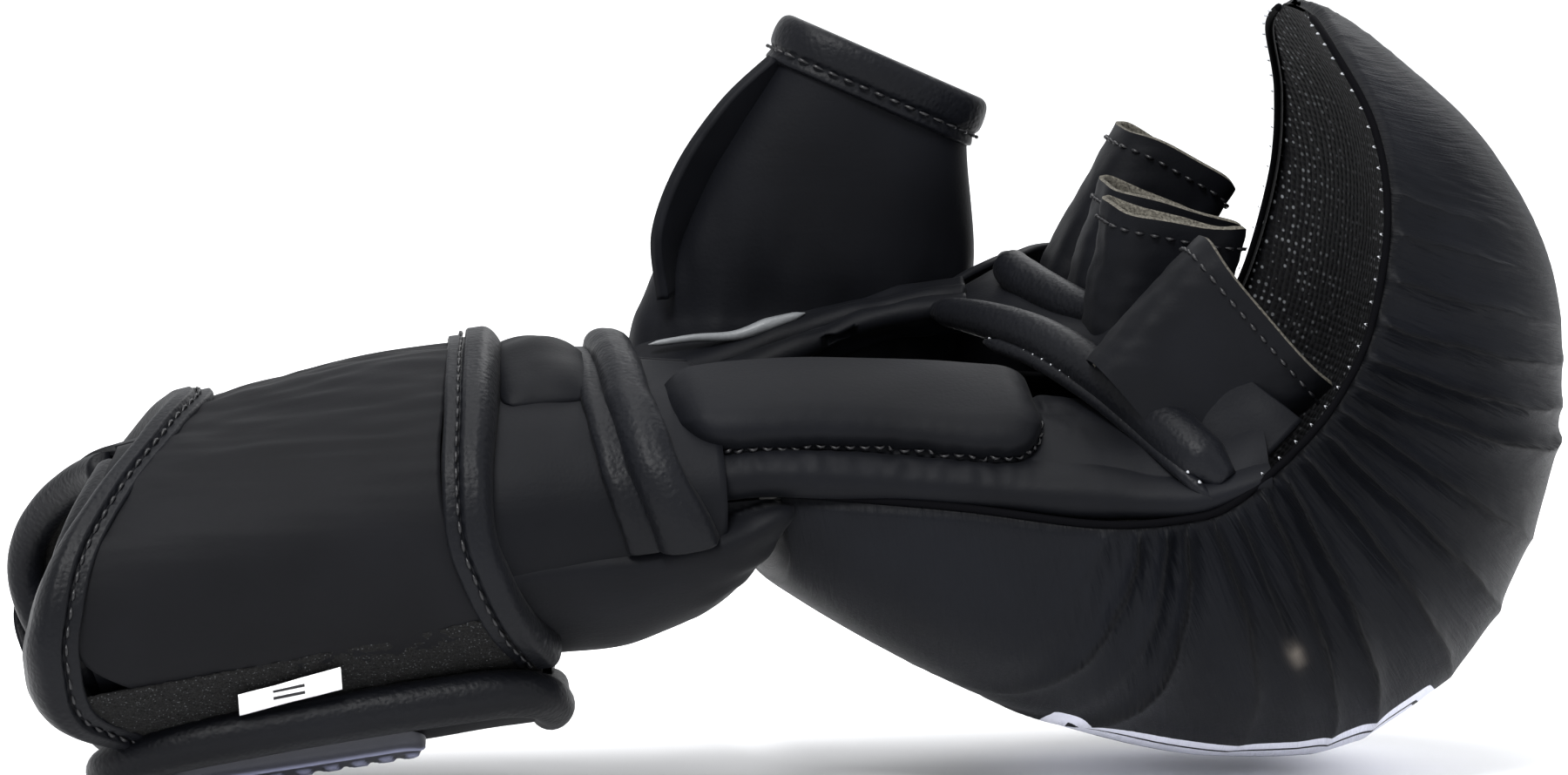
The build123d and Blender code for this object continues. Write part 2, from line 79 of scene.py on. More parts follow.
PLEATS = [
    # place along the pad, depth, reach from the seam, slant
    (5.10, 0.6, 18, -0.030),
    (5.45, 2.4, 36, -0.028),
    (5.75, 1.8, 26, -0.027),
    (6.02, 3.6, 44, -0.026),
    (6.50, 2.6, 40, -0.014),
    (6.95, 1.8, 30, -0.012),
    (7.36, 3.2, 44, -0.012),
    (7.66, 3.8, 50, -0.009),
    (8.02, 3.4, 52, -0.003),
    (8.42, 3.6, 54, 0.000),
    (8.84, 3.2, 50, 0.002),
    (9.22, 3.4, 52, 0.008),
    (9.62, 2.6, 44, 0.006),
    (10.02, 2.2, 40, 0.005),
    (10.44, 1.8, 32, 0.003),
    (10.86, 1.3, 26, 0.002),
    (11.24, 0.8, 20, 0.000),
]

# The cuff: x and z of the middle, lean, half width and half height.
CUFF = [
    (-146, 30.6, 11, 34, 23.5),
    (-130, 33.6, 11, 34, 23.5),
    (-105, 38.5, 11, 35, 24.5),
    (-80, 43.4, 11, 36, 25),
    (-55, 48, 9, 37, 25),
    (-34, 50.5, 6, 38, 24),
    (-12, 53, 0, 40, 20),
    (2, 53.2, 0, 41, 20),
]
STRAP_LOW, STRAP_TOP = 0.5, 5.5
TAB_LOW, TAB_TOP = 6.3, 11.5

# The hand part above the pad seam: x, seam z, half width and height.
PALM = [
    (-28, 51.2, 38.2, 22),
    (-11, 53.8, 39.8, 21),
    (10, 53, 42, 22),
    (30, 51, 45, 23),
    (50, 49.8, 50, 23),
    (64, 50.5, 54, 24),
    (78, 55, 55.5, 24),
]

# Thumb sheath: middle (x, y, z), width along X, thickness along Y and lean of the section.
THUMB = [
    ((8, 42, 66), 60, 24, 0),
    ((10.5, 43, 76), 61, 25, 0),
    ((12, 43.5, 80.5), 60, 25.5, -2),
    ((15, 42, 92), 55, 26, -8),
    ((19, 40.5, 105), 47, 25, -17),
    ((22.4, 39.5, 117.2), 39, 23.5, -23),
    ((24.3, 39.3, 121.5), 37.5, 23.5, -24),
]

# Finger stalls: y of the middle, x and z of the free edge on the palm side and on the back, length.
FINGERS = {
    "little": (-36, (68, 98), (91, 71), 23),
    "ring": (-12.2, (56, 102.5), (81, 97), 26),
    "middle": (11.4, (60, 104.5), (86, 95), 28),
    "index": (34.6, (68, 113), (89, 100.5), 33),
}
STALL_WIDTH = 21.4


# ---- Numbers ------------------------------------------------------------------------------------
def spline(rows, at):
    """Smooth values of a table's columns at places counted in rows."""
    rows = np.asarray(rows, float)
    at = np.clip(np.asarray(at, float), 0, len(rows) - 1)
    first = np.minimum(at.astype(int), len(rows) - 2)
    share = (at - first)[..., None]
    before = rows[np.maximum(first - 1, 0)]
    start = rows[first]
    end = rows[first + 1]
    after = rows[np.minimum(first + 2, len(rows) - 1)]
    return 0.5 * (
        2 * start
        + (end - before) * share
        + (2 * before - 5 * start + 4 * end - after) * share**2
        + (3 * start - before - 3 * end + after) * share**3
    )


def at_x(rows, x):
    """Smooth values of a table whose first column is x."""
    rows = np.asarray(rows, float)
    place = np.interp(x, rows[:, 0], np.arange(len(rows)))
    return spline(rows, place)


def ease(x, low, high):
    """0 below low, 1 above high and a smooth rise between."""
    t = np.clip((np.asarray(x, float) - low) / (high - low), 0, 1)
    return t * t * (3 - 2 * t)


def ripple(points, size, seed=0.0):
    """Smooth noise from -1 to 1 at each point, with features of about that size."""
    flat = np.asarray(points, float).reshape(-1, 3) / size + seed
    values = [noise.noise(Vector(p)) for p in flat]
    return np.array(values).reshape(np.asarray(points).shape[:-1])


def normals(grid):
    """Unit normals of a grid of points."""
    along = np.gradient(grid, axis=0)
    across = np.gradient(grid, axis=1)
    out = np.cross(along, across)
    return out / np.maximum(np.linalg.norm(out, axis=-1, keepdims=True), 1e-9)


def pushed(grid, height):
    """The grid with each point moved that far along its normal."""
    return grid + normals(grid) * height[..., None]


def fine(count):
    """How many rows a grid gets where it has that many at full detail."""
    return int(count * DETAIL)


def resample(path, count):
    """Evenly spaced points on a smooth line through the path's points."""
    dense = spline(path, np.linspace(0, len(path) - 1, 400))
    step = np.r_[0, np.cumsum(np.linalg.norm(np.diff(dense, axis=0), axis=1))]
    places = np.linspace(0, step[-1], count)
    return np.stack([np.interp(places, step, dense[:, i]) for i in range(3)], axis=1)


# ---- Meshes -------------------------------------------------------------------------------------
def mesh_object(name, points, faces, material, uv=None, smooth=True):
    """A Blender object from points in millimetres."""
    mesh = bpy.data.meshes.new(name)
    mesh.from_pydata((np.asarray(points).reshape(-1, 3) * MM).tolist(), [], faces)
    if uv is not None:
        layer = mesh.uv_layers.new(name="UVMap")
        loops = np.empty(len(mesh.loops), int)
        mesh.loops.foreach_get("vertex_index", loops)
        layer.data.foreach_set("uv", np.asarray(uv, float).reshape(-1, 2)[loops].ravel())
    mesh.polygons.foreach_set("use_smooth", [smooth] * len(mesh.polygons))
    mesh.materials.append(material)
    obj = bpy.data.objects.new(name, mesh)
    bpy.context.scene.collection.objects.link(obj)
    return obj


def quads(rows, columns, wrap=False, start=0, flip=False):
    """Faces of a grid of points, joined round its columns if it wraps."""
    faces = []
    last = columns if wrap else columns - 1
    for i in range(rows - 1):
        for j in range(last):
            k = (j + 1) % columns
            face = [start + i * columns + j, start + i * columns + k]
            face += [start + (i + 1) * columns + k, start + (i + 1) * columns + j]
            faces.append(face[::-1] if flip else face)
    return faces


def surface(name, grid, material, uv=None, wrap=False, flip=False):
    """A single-sided surface from a grid."""
    rows, columns = grid.shape[:2]
    return mesh_object(name, grid, quads(rows, columns, wrap, 0, flip), material, uv)


def shell(name, grid, thick, material, uv=None, wrap=False, flip=False):
    """A sheet of that thickness, under a grid of points on its outer face."""
    rows, columns = grid.shape[:2]
    if wrap:
        closed = np.concatenate([grid[:, -1:], grid, grid[:, :1]], axis=1)
        out = normals(closed)[:, 1:-1]
    else:
        out = normals(grid)
    inner = grid - out * thick * (-1 if flip else 1)
    count = rows * columns
    faces = quads(rows, columns, wrap, 0, flip) + quads(rows, columns, wrap, count, not flip)
    rims = [[(0, j) for j in range(columns)], [(rows - 1, j) for j in range(columns)][::-1]]
    if not wrap:
        rims.append([(i, 0) for i in range(rows)][::-1])
        rims.append([(i, columns - 1) for i in range(rows)])
    for rim in rims:
        if wrap:
            rim = rim + rim[:1]
        for (i, j), (k, m) in zip(rim, rim[1:]):
            a, b = i * columns + j, k * columns + m
            face = [b, a, a + count, b + count]
            faces.append(face[::-1] if flip else face)
    both = None if uv is None else np.concatenate([uv.reshape(-1, 2), uv.reshape(-1, 2)])
    points = np.concatenate([grid.reshape(-1, 3), inner.reshape(-1, 3)])
    return mesh_object(name, points, faces, material, both)


def tube(name, path, radius, material, sides=16, taper=(1, 1), squash=1.0, up=(0, 0, 1), steps=None):
    """A round roll with closed ends; radius may be one number or one for each of the path's points."""
    steps = steps or max(12, int(len(path) * 8 * DETAIL))
    middle = resample(path, steps)
    along = np.gradient(middle, axis=0)
    along /= np.linalg.norm(along, axis=1, keepdims=True)
    side = np.cross(along, np.asarray(up, float))
    side /= np.linalg.norm(side, axis=1, keepdims=True)
    top = np.cross(side, along)
    place = np.linspace(0, 1, steps)
    size = np.interp(place, np.linspace(0, 1, np.size(radius)), np.atleast_1d(radius))
    size = size * np.interp(place, [0, 0.06, 0.94, 1], [taper[0], 1, 1, taper[1]])
    turn = np.linspace(0, 2 * np.pi, sides, endpoint=False)
    ring = side[:, None] * np.cos(turn)[None, :, None] + top[:, None] * np.sin(turn)[None, :, None] * squash
    grid = middle[:, None] + ring * size[:, None, None]
    uv = np.stack(np.broadcast_arrays(place[:, None] * steps / 10, turn[None] / 6.283), axis=-1)
    faces = quads(steps, sides, True)
    faces += [list(range(sides))[::-1], list(range((steps - 1) * sides, steps * sides))]
    return mesh_object(name, grid, faces, material, uv)


def stitches(name, paths, material, length=2.3, gap=1.1, radius=0.36, lift=0.15):
    """Thread along paths: each path is a pair of points and outward normals."""
    points, faces = [], []
    for path, outward in paths:
        total = np.linalg.norm(np.diff(path, axis=0), axis=1)
        step = np.r_[0, np.cumsum(total)]
        count = max(1, int(step[-1] / (length + gap)))
        for k in range(count):
            places = (np.array([0, 0.22, 0.5, 0.78, 1]) * length) + k * (length + gap)
            line = np.stack([np.interp(places, step, path[:, i]) for i in range(3)], axis=1)
            out = np.stack([np.interp(places, step, outward[:, i]) for i in range(3)], axis=1)
            out /= np.maximum(np.linalg.norm(out, axis=1, keepdims=True), 1e-9)
            along = line[-1] - line[0]
            along /= max(np.linalg.norm(along), 1e-9)
            side = np.cross(along, out)
            size = radius * np.array([0.35, 0.9, 1.0, 0.9, 0.35])
            rise = np.array([-0.3, 0.1, 0.28, 0.1, -0.3]) + lift
            base = len(points)
            for n in range(5):
                for turn in (0, 60, 120, 180, 240, 300):
                    a = math.radians(turn)
                    raised = out[n] * (rise[n] + size[n] * 0.8 * math.sin(a))
                    points.append(line[n] + raised + side[n] * size[n] * math.cos(a))
            faces += quads(5, 6, True, base)
    return mesh_object(name, np.array(points), faces, material)


def point_values(piece, name, values):
    """Stores one number for each of the piece's points."""
    attribute = piece.data.attributes.new(name, "FLOAT", "POINT")
    attribute.data.foreach_set("value", np.ravel(values).astype(np.float32))


def ring_normals(grid):
    """Outward normals of rows of points that close on themselves, and 1 or -1 for the faces' way round."""
    closed = np.concatenate([grid[:, -1:], grid, grid[:, :1]], axis=1)
    out = normals(closed)[:, 1:-1]
    sign = 1.0 if ((grid - grid.mean(axis=1, keepdims=True)) * out).sum() > 0 else -1.0
    return out * sign, sign


def between(low, high, share):
    """A grid of points from one line to another."""
    return low[:, None] * (1 - share[None, :, None]) + high[:, None] * share[None, :, None]


def dress(body, slots):
    """Each piece rides on the body."""
    for piece, slot in slots.items():
        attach(piece, body)


# ---- Materials ----------------------------------------------------------------------------------
def new_material(name):
    """An empty node material and its shader."""
    material = bpy.data.materials.new(name)
    material.use_nodes = True
    tree = material.node_tree
    return material, tree, tree.nodes["Principled BSDF"]


def node(tree, kind, **inputs):
    """A node with some of its inputs set."""
    made = tree.nodes.new(kind)
    for key, value in inputs.items():
        made.inputs[key.replace("_", " ")].default_value = value
    return made


def texture(tree, kind, place, **inputs):
    """A texture node that reads its place from an output."""
    made = node(tree, kind, **inputs)
    tree.links.new(place, made.inputs["Vector"])
    return made


def scaled(tree, place, scale):
    """Places stretched along their axes."""
    made = tree.nodes.new("ShaderNodeMapping")
    made.inputs["Scale"].default_value = scale
    tree.links.new(place, made.inputs["Vector"])
    return made.outputs["Vector"]


def level(tree, name):
    """A value that the mesh holds at its points."""
    made = tree.nodes.new("ShaderNodeAttribute")
    made.attribute_name = name
    return made.outputs["Fac"]


def map_range(tree, value, before, after):
    """A value moved from one range to another."""
    made = tree.nodes.new("ShaderNodeMapRange")
    for key, number in zip(("From Min", "From Max", "To Min", "To Max"), (*before, *after)):
        made.inputs[key].default_value = number
    tree.links.new(value, made.inputs["Value"])
    return made.outputs["Result"]


def ramp(tree, value, *stops, style="LINEAR"):
    """A colour looked up from a value; each stop is a place and its colour."""
    made = tree.nodes.new("ShaderNodeValToRGB")
    made.color_ramp.interpolation = style
    for place, _ in stops[2:]:
        made.color_ramp.elements.new(place)
    for element, (place, colour) in zip(made.color_ramp.elements, stops):
        element.position = place
        element.color = (*colour, 1)
    tree.links.new(value, made.inputs["Fac"])
    return made.outputs["Color"]


def mix(tree, factor, base, colour):
    """The base with a colour over it, as far as the factor says."""
    made = tree.nodes.new("ShaderNodeMix")
    made.data_type = "RGBA"
    made.inputs["B"].default_value = (*colour, 1)
    tree.links.new(factor, made.inputs["Factor"])
    tree.links.new(base, made.inputs["A"])
    return made.outputs["Result"]


def multiply(tree, first, second):
    """An output times a number or another output."""
    made = tree.nodes.new("ShaderNodeMath")
    made.operation = "MULTIPLY"
    tree.links.new(first, made.inputs[0])
    if isinstance(second, float):
        made.inputs[1].default_value = second
    else:
        tree.links.new(second, made.inputs[1])
    return made.outputs["Value"]


def bump(tree, height, strength, depth, below=None):
    """A normal raised by a height, over another bump where there is one; depth in millimetres."""
    made = node(tree, "ShaderNodeBump", Strength=strength, Distance=depth * MM)
    tree.links.new(height, made.inputs["Height"])
    if below is not None:
        tree.links.new(below, made.inputs["Normal"])
    return made.outputs["Normal"]


def printed(tree, colour):
    """The pad's colour with its plain striped shield, a pale scuff, and painted shade darkening its folds and seams.
    """
    black, white = (0, 0, 0), (1, 1, 1)
    stops = [(0.0, black), (0.005, white), (0.19, black), (0.25, white), (0.62, black), (0.66, white)]
    inset = map_range(tree, level(tree, "print_inset"), (0, PRINT_WIDTH), (0, 1))
    bands = ramp(tree, inset, *stops, style="CONSTANT")
    shield = mix(tree, bands, colour, (0.60, 0.61, 0.70))
    worn = mix(tree, multiply(tree, level(tree, "scuff"), 0.6), shield, (0.16, 0.14, 0.12))
    # Painted shade: the folds and seam creases are mixed towards near black.
    return mix(tree, level(tree, "painted_fold_shade"), worn, (0.0004, 0.0004, 0.0006))


def leather(
    name, dark, light, rough, grain, grain_depth, crease_depth, streaks=(1, 1, 1), uv=False, gloss_level=0.07
):
    """Synthetic leather: pebble grain, fine creases along one way, soft colour and gloss changes."""
    material, tree, shader = new_material(name)
    places = tree.nodes.new("ShaderNodeTexCoord").outputs
    streaked = scaled(tree, places["UV" if uv else "Object"], streaks)
    pebble = texture(tree, "ShaderNodeTexVoronoi", places["Object"], Scale=grain)
    pebble.feature = "SMOOTH_F1"
    fine = texture(tree, "ShaderNodeTexNoise", places["Object"], Scale=grain * 2.2, Detail=3.0)
    crease = texture(
        tree, "ShaderNodeTexNoise", streaked,
        Scale=1.0 if uv else 60.0, Detail=5.0, Roughness=0.6, Distortion=0.6,
    )
    patch = texture(tree, "ShaderNodeTexNoise", places["Object"], Scale=26.0, Detail=4.0)
    colour = ramp(tree, patch.outputs["Fac"], (0.32, dark), (0.72, light))
    if uv:
        colour = printed(tree, colour)
    gloss = map_range(tree, fine.outputs["Fac"], (0, 1), (rough - 0.06, rough + 0.08))
    normal = bump(tree, crease.outputs["Fac"], 0.5, crease_depth)
    normal = bump(tree, pebble.outputs["Distance"], 0.6, grain_depth, normal)
    normal = bump(tree, fine.outputs["Fac"], 0.35, grain_depth * 0.5, normal)
    for output, key in ((colour, "Base Color"), (gloss, "Roughness"), (normal, "Normal")):
        tree.links.new(output, shader.inputs[key])
    shader.inputs["Sheen Weight"].default_value = 0.008
    shader.inputs["Sheen Roughness"].default_value = 0.5
    shader.inputs["Specular IOR Level"].default_value = gloss_level
    return material


def finished(material, tree, shader, colour, normal, rough, gloss_level):
    """The material with its colour, normal, roughness and gloss set."""
    tree.links.new(colour, shader.inputs["Base Color"])
    tree.links.new(normal, shader.inputs["Normal"])
    shader.inputs["Roughness"].default_value = rough
    shader.inputs["Specular IOR Level"].default_value = gloss_level
    return material


def fabric(name, dark, light, scale, depth, specks=0.0, speck_scale=900.0):
    """Brushed or knitted cloth, with pale fibre specks where asked."""
    material, tree, shader = new_material(name)
    place = tree.nodes.new("ShaderNodeTexCoord").outputs["Object"]
    fibre = texture(tree, "ShaderNodeTexNoise", place, Scale=scale, Detail=6.0, Roughness=0.75)
    colour = ramp(tree, fibre.outputs["Fac"], (0.38, dark), (0.66, light))
    if specks:
        dots = texture(tree, "ShaderNodeTexVoronoi", place, Scale=speck_scale)
        shown = map_range(tree, dots.outputs["Distance"], (0.10, 0.24), (specks, 0.0))
        colour = mix(tree, shown, colour, (0.5, 0.52, 0.55))
    normal = bump(tree, fibre.outputs["Fac"], 0.8, depth)
    return finished(material, tree, shader, colour, normal, 0.95, 0.15)


def spacer_mesh():
    """Black spacer mesh: rows of small holes with threads between, and painted glints, pale specks in its colour,
    brightest by the seam.
    """
    material, tree, shader = new_material("spacer_mesh")
    place = tree.nodes.new("ShaderNodeTexCoord").outputs["UV"]
    holes = texture(tree, "ShaderNodeTexVoronoi", place, Scale=1.0, Randomness=0.25)
    threads = texture(tree, "ShaderNodeTexNoise", place, Scale=9.0, Detail=2.0)
    dark = ramp(tree, holes.outputs["Distance"], (0.26, (0.0008, 0.0008, 0.001)), (0.62, (0.0022, 0.0023, 0.0030)))
    wide = scaled(tree, place, (0.8, 0.8, 1))
    # Painted glints: pale specks mixed into the colour as far as the stored glint amount says.
    sparkle = texture(tree, "ShaderNodeTexVoronoi", wide, Scale=1.0, Randomness=0.35)
    shown = map_range(tree, sparkle.outputs["Distance"], (0.16, 0.26), (1.0, 0.0))
    glint = multiply(tree, shown, level(tree, "painted_glint_amount"))
    colour = mix(tree, glint, dark, (0.75, 0.78, 0.82))
    normal = bump(tree, holes.outputs["Distance"], 1.0, 0.6)
    normal = bump(tree, threads.outputs["Fac"], 0.5, 0.2, normal)
    return finished(material, tree, shader, colour, normal, 0.65, 0.03)


def plain(name, colour, rough, bump_scale, bump_depth, attribute="", raised=(0, 0, 0), gloss_level=0.3):
    """Rubber, thread or label cloth with a fine surface, in a second colour where an attribute says."""
    material, tree, shader = new_material(name)
    place = tree.nodes.new("ShaderNodeTexCoord").outputs["Object"]
    grain = texture(tree, "ShaderNodeTexNoise", place, Scale=bump_scale, Detail=3.0)
    darker, lighter = [c * 0.8 for c in colour], [min(1, c * 1.15) for c in colour]
    tint = ramp(tree, grain.outputs["Fac"], (0.0, darker), (1.0, lighter))
    if attribute:
        tint = mix(tree, level(tree, attribute), tint, raised)
    normal = bump(tree, grain.outputs["Fac"], 0.5, bump_depth)
    return finished(material, tree, shader, tint, normal, rough, gloss_level)


PRINT_WIDTH = 16.0
PAD_LEATHER = leather(
    "pad_leather", (0.0016, 0.0019, 0.0030), (0.0036, 0.0042, 0.0062), 0.50, 1500, 0.05, 0.7, (26, 3.0, 1), True
)
PANEL_LEATHER = leather(
    "panel_leather", (0.0016, 0.0018, 0.0026), (0.0034, 0.0038, 0.0054), 0.56, 1700, 0.04, 0.25, (0.5, 1, 2.2)
)
STRAP_LEATHER = leather(
    "strap_leather", (0.0020, 0.0021, 0.0027), (0.0040, 0.0042, 0.0054), 0.60, 1700, 0.035, 0.22, (0.35, 1, 2.4)
)
GRAINED = leather(
    "grained_binding", (0.0012, 0.0014, 0.0022), (0.0030, 0.0034, 0.0050), 0.46, 1150, 0.20, 0.25, gloss_level=0.10
)
INNER_CLOTH = fabric("lining_cloth", (0.006, 0.006, 0.006), (0.022, 0.021, 0.020), 1400, 0.3)
RAW_EDGE = fabric("raw_inner_side", (0.030, 0.027, 0.022), (0.16, 0.15, 0.125), 1900, 0.5)
LOOP = fabric("loop_tape", (0.0015, 0.0015, 0.0015), (0.014, 0.014, 0.014), 2600, 0.8, 0.12, 1500)
HOOK = fabric("hook_tape", (0.004, 0.004, 0.004), (0.03, 0.03, 0.03), 2200, 0.9)
MESH = spacer_mesh()
THREAD = plain("thread", (0.004, 0.004, 0.005), 0.4, 3000, 0.05)
# Near-black, nearly matt welt finish: painted shade in the pad seam's crease.
SEAM_SHADOW = plain("seam_shadow", (0.0015, 0.0015, 0.002), 0.8, 3000, 0.05, gloss_level=0.02)
# Pale thread: glints on the dark stitches, painted into their colour.
GLINT_PAINTED_THREAD = plain("thread_painted_glints", (0.35, 0.36, 0.38), 0.5, 3000, 0.05)
LABEL = plain("label_cloth", (0.83, 0.83, 0.84), 0.8, 2600, 0.08)
RUBBER = plain("badge_rubber", (0.016, 0.017, 0.024), 0.4, 1200, 0.04, "relief", (0.24, 0.25, 0.36))
GLUE = plain("dried_glue", (0.11, 0.115, 0.12), 0.4, 900, 0.2)


# ---- Fist pad -----------------------------------------------------------------------------------
LOBE_RISE, FOLD_DROP, LOBE_ROUNDNESS = 0.35, 1.1, 2.6
# Painted shade along the folds: its width, its widening with reach from the seam, and its strength.
FOLD_LINE, FOLD_LINE_GROWTH, FOLD_SHADE = 0.5, 0.006, 0.75
SEAM_TUCK = 3.0
HOLLOW_HALF_WIDTH, GLINT_REACH, MESH_CELL = 50, 22, (1.25, 2.2)


def pad_frame(s):
    """Seam points, outward directions, depths, half widths and hollows along the pad."""
    rows = spline(PAD, s)
    seam = np.stack([rows[..., 0], np.zeros_like(rows[..., 0]), rows[..., 1]], axis=-1)
    outer = np.stack([rows[..., 2], np.zeros_like(rows[..., 0]), rows[..., 3]], axis=-1)
    depth = np.linalg.norm(outer - seam, axis=-1)
    return seam, (outer - seam) / depth[..., None], depth, rows[..., 4], rows[..., 5]


def pad_places():
    """Places along the pad, closest together where the pleats are."""
    parts = [np.linspace(0, 3, 26), np.linspace(3, 4.2, 16), np.linspace(4.2, 11.6, fine(470))]
    parts += [np.linspace(11.6, 13.6, 28), np.linspace(13.6, 15, 24)]
    return np.unique(np.concatenate(parts))


def pad_grid(s, turn):
    """Points of the pad's outside at places along it and turns from one seam over to the other."""
    seam, outward, depth, half, _ = pad_frame(s)
    across = np.copysign(np.abs(np.cos(turn)) ** (2 / PAD_ROUNDNESS), -np.cos(turn))
    out = np.abs(np.sin(turn)) ** (2 / PAD_ROUNDNESS)
    grid = seam[:, None] + outward[:, None] * (depth[:, None] * out[None])[..., None]
    grid[..., 1] += half[:, None] * across[None]
    return grid


def pleat_height(s, reach, pace):
    """How far the pleated leather stands out, and the painted shade along its folds: round lobes between sharp folds.
    """
    folds = []
    for middle, depth, length, slant in PLEATS:
        wander = 0.010 * np.sin(reach * 0.33 + middle * 9) + 0.006 * np.sin(reach * 0.9 + middle * 5)
        fade = np.exp(-((reach / length) ** 2.4)) * ease(reach, -1.0, 2.5)
        folds.append((middle + slant * reach + wander, depth * fade))
    folds.insert(0, (folds[0][0] - 0.4, 0 * reach))
    folds.append((folds[-1][0] + 0.4, 0 * reach))
    height = np.zeros(np.broadcast(s, reach).shape)
    shade = np.zeros_like(height)
    for (start, start_depth), (end, end_depth) in zip(folds, folds[1:]):
        share = np.clip((s - start) / (end - start), 0, 1)
        depth = (1 - share) * start_depth + share * end_depth
        lobe = depth * (LOBE_RISE - (LOBE_RISE + FOLD_DROP) * np.abs(2 * share - 1) ** LOBE_ROUNDNESS)
        height = np.where((s >= start) & (s < end), lobe, height)
        # Painted shade: a dark line along each fold, stronger where the fold is deeper.
        off = np.abs(s - end) * pace
        line = FOLD_SHADE * np.exp(-((off / (FOLD_LINE + FOLD_LINE_GROWTH * reach)) ** 1.5))
        shade = np.maximum(shade, np.clip(end_depth / 2.0, 0, 1) * line)
    return height, shade


def make_pad():
    """The leather of the fist pad, from seam to seam over the back, with pleats fanning out."""
    s = pad_places()
    turn = np.linspace(0, 1, fine(118))
    turn = np.pi * (turn - 0.055 * np.sin(4 * np.pi * turn))
    grid = pad_grid(s, turn)
    step = np.linalg.norm(np.diff(grid, axis=1), axis=-1)
    near = np.concatenate([np.zeros((len(s), 1)), np.cumsum(step, axis=1)], axis=1)
    reach = np.minimum(near, near[:, -1:] - near)
    away = ease(s, 3.2, 5.0)[:, None]
    pace = np.linalg.norm(np.gradient(grid, axis=0), axis=-1) / np.gradient(s)[:, None]
    height, shade = pleat_height(s[:, None] + 0 * reach, reach, np.minimum(pace, 26))
    # The seam pulls the leather in, and the leather beyond it is uneven.
    height += 1.3 * (1 - np.exp(-((reach / 5.0) ** 2))) * (0.4 + 0.6 * away) - 0.9
    height += 0.35 * ripple(grid, 26, 3.1) + 0.16 * ripple(grid, 9, 7.7) * np.exp(-reach / 45)
    # Fine creases run along the pleats, and a fan of them leads in to the first pleat.
    creases = ripple(np.stack([s[:, None] * 22 + reach * 0.10, reach * 0.16, 0 * reach], axis=-1), 1.0, 1.7)
    height += 0.25 * creases * np.exp(-((reach - 8) / 34) ** 2) * away
    fan = ripple(np.stack([s[:, None] * 60 + reach * 0.9, reach * 0.05, 0 * reach], axis=-1), 1.0, 4.4)
    height += 0.30 * fan * np.exp(-(((reach - 14) / 13) ** 2)) * np.exp(-(((s[:, None] - 5.0) / 0.75) ** 2))
    out = normals(grid)
    grid = grid + out * (height * ease(reach, 0.0, 2.5))[..., None]
    # Painted shade also darkens the leather in the seam crease on both sides.
    shade = np.maximum(shade, 0.9 * np.exp(-reach / 1.2))
    shade = np.concatenate([shade[:, :1], shade, shade[:, -1:]], axis=1)
    tuck = grid[:, :1] + np.array([0, SEAM_TUCK, 0])
    tuck_far = grid[:, -1:] - np.array([0, SEAM_TUCK, 0])
    grid = np.concatenate([tuck, grid, tuck_far], axis=1)
    reach = np.concatenate([reach[:, :1], reach, reach[:, -1:]], axis=1)
    uv = np.stack(np.broadcast_arrays(s[:, None], reach / 30), axis=-1)
    pad = surface("pad_leather_cover", grid, PAD_LEATHER, uv, flip=True)
    across = np.r_[turn[0], turn, turn[-1]]
    inset = print_inset(s[:, None], np.abs(across[None] / np.pi - 0.5) * 2, grid)
    point_values(pad, "print_inset", inset)
    # The painted shade is stored on the points, and the pad's material darkens its colour by it.
    point_values(pad, "painted_fold_shade", shade)
    scuff = np.exp(-(((s[:, None] - 6.62) / 0.10) ** 2) - ((reach - 31) / 2.2) ** 2) * (grid[..., 1] < 0)
    point_values(pad, "scuff", scuff)
    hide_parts("back_cover", "back_soft_foam", "back_dense_foam")
    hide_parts("knuckle_cover", "knuckle_soft_foam", "knuckle_dense_foam")
    knuckle_blend(pad)


def knuckle_blend(piece):
    """The piece's transform is baked into its points."""
    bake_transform(piece)


def hollow_grid(s, share, lift=0.0):
    """Points of the hand hollow, across the pad from seam to seam."""
    seam, outward, _, half, hollow = pad_frame(s)
    out = hollow[:, None] * (1 - share[None] ** 2) - lift * (1 - share[None] ** 6)
    grid = seam[:, None] + outward[:, None] * out[..., None]
    grid[..., 1] += (half[:, None] - 0.6) * share[None]
    return grid


def make_linings():
    """Spacer mesh over the fingers and brushed lining on the back of the hand."""
    share = np.linspace(-1, 1, 90)
    s = np.linspace(PAD_KNUCKLE, 14.2, fine(150))
    grid = hollow_grid(s, share, 0.6)
    grid = pushed(grid, 0.35 * ripple(grid, 16, 5.0))
    length = np.r_[0, np.cumsum(np.linalg.norm(np.diff(grid[:, 45], axis=0), axis=1))]
    uv = np.stack(np.broadcast_arrays(length[:, None] / MESH_CELL[0], grid[..., 1] / MESH_CELL[1]), axis=-1)
    mesh = surface("spacer_mesh_lining", grid, MESH, uv, flip=False)
    # Painted glints on the mesh: strongest by the near seam, faint by the far seam, fading within about GLINT_REACH
    # millimetres of each, with a trace everywhere.
    edge = (1 - np.abs(share)) * HOLLOW_HALF_WIDTH
    near = np.where(share < 0, 1.0, 0.15) * np.exp(-((edge / GLINT_REACH) ** 1.6))
    values = np.broadcast_to(near[None], grid.shape[:2]) + 0.015
    point_values(mesh, "painted_glint_amount", values)
    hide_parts("knuckle_mesh_lining")
    dress("knuckle_pad", {mesh: "spacer_mesh"})
    s = np.linspace(1.2, PAD_KNUCKLE, 60)
    back = surface("back_of_hand_lining", hollow_grid(s, share, 0.6), INNER_CLOTH, flip=False)
    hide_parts("back_lining")
    dress("hand", {back: "lining_fabric"})


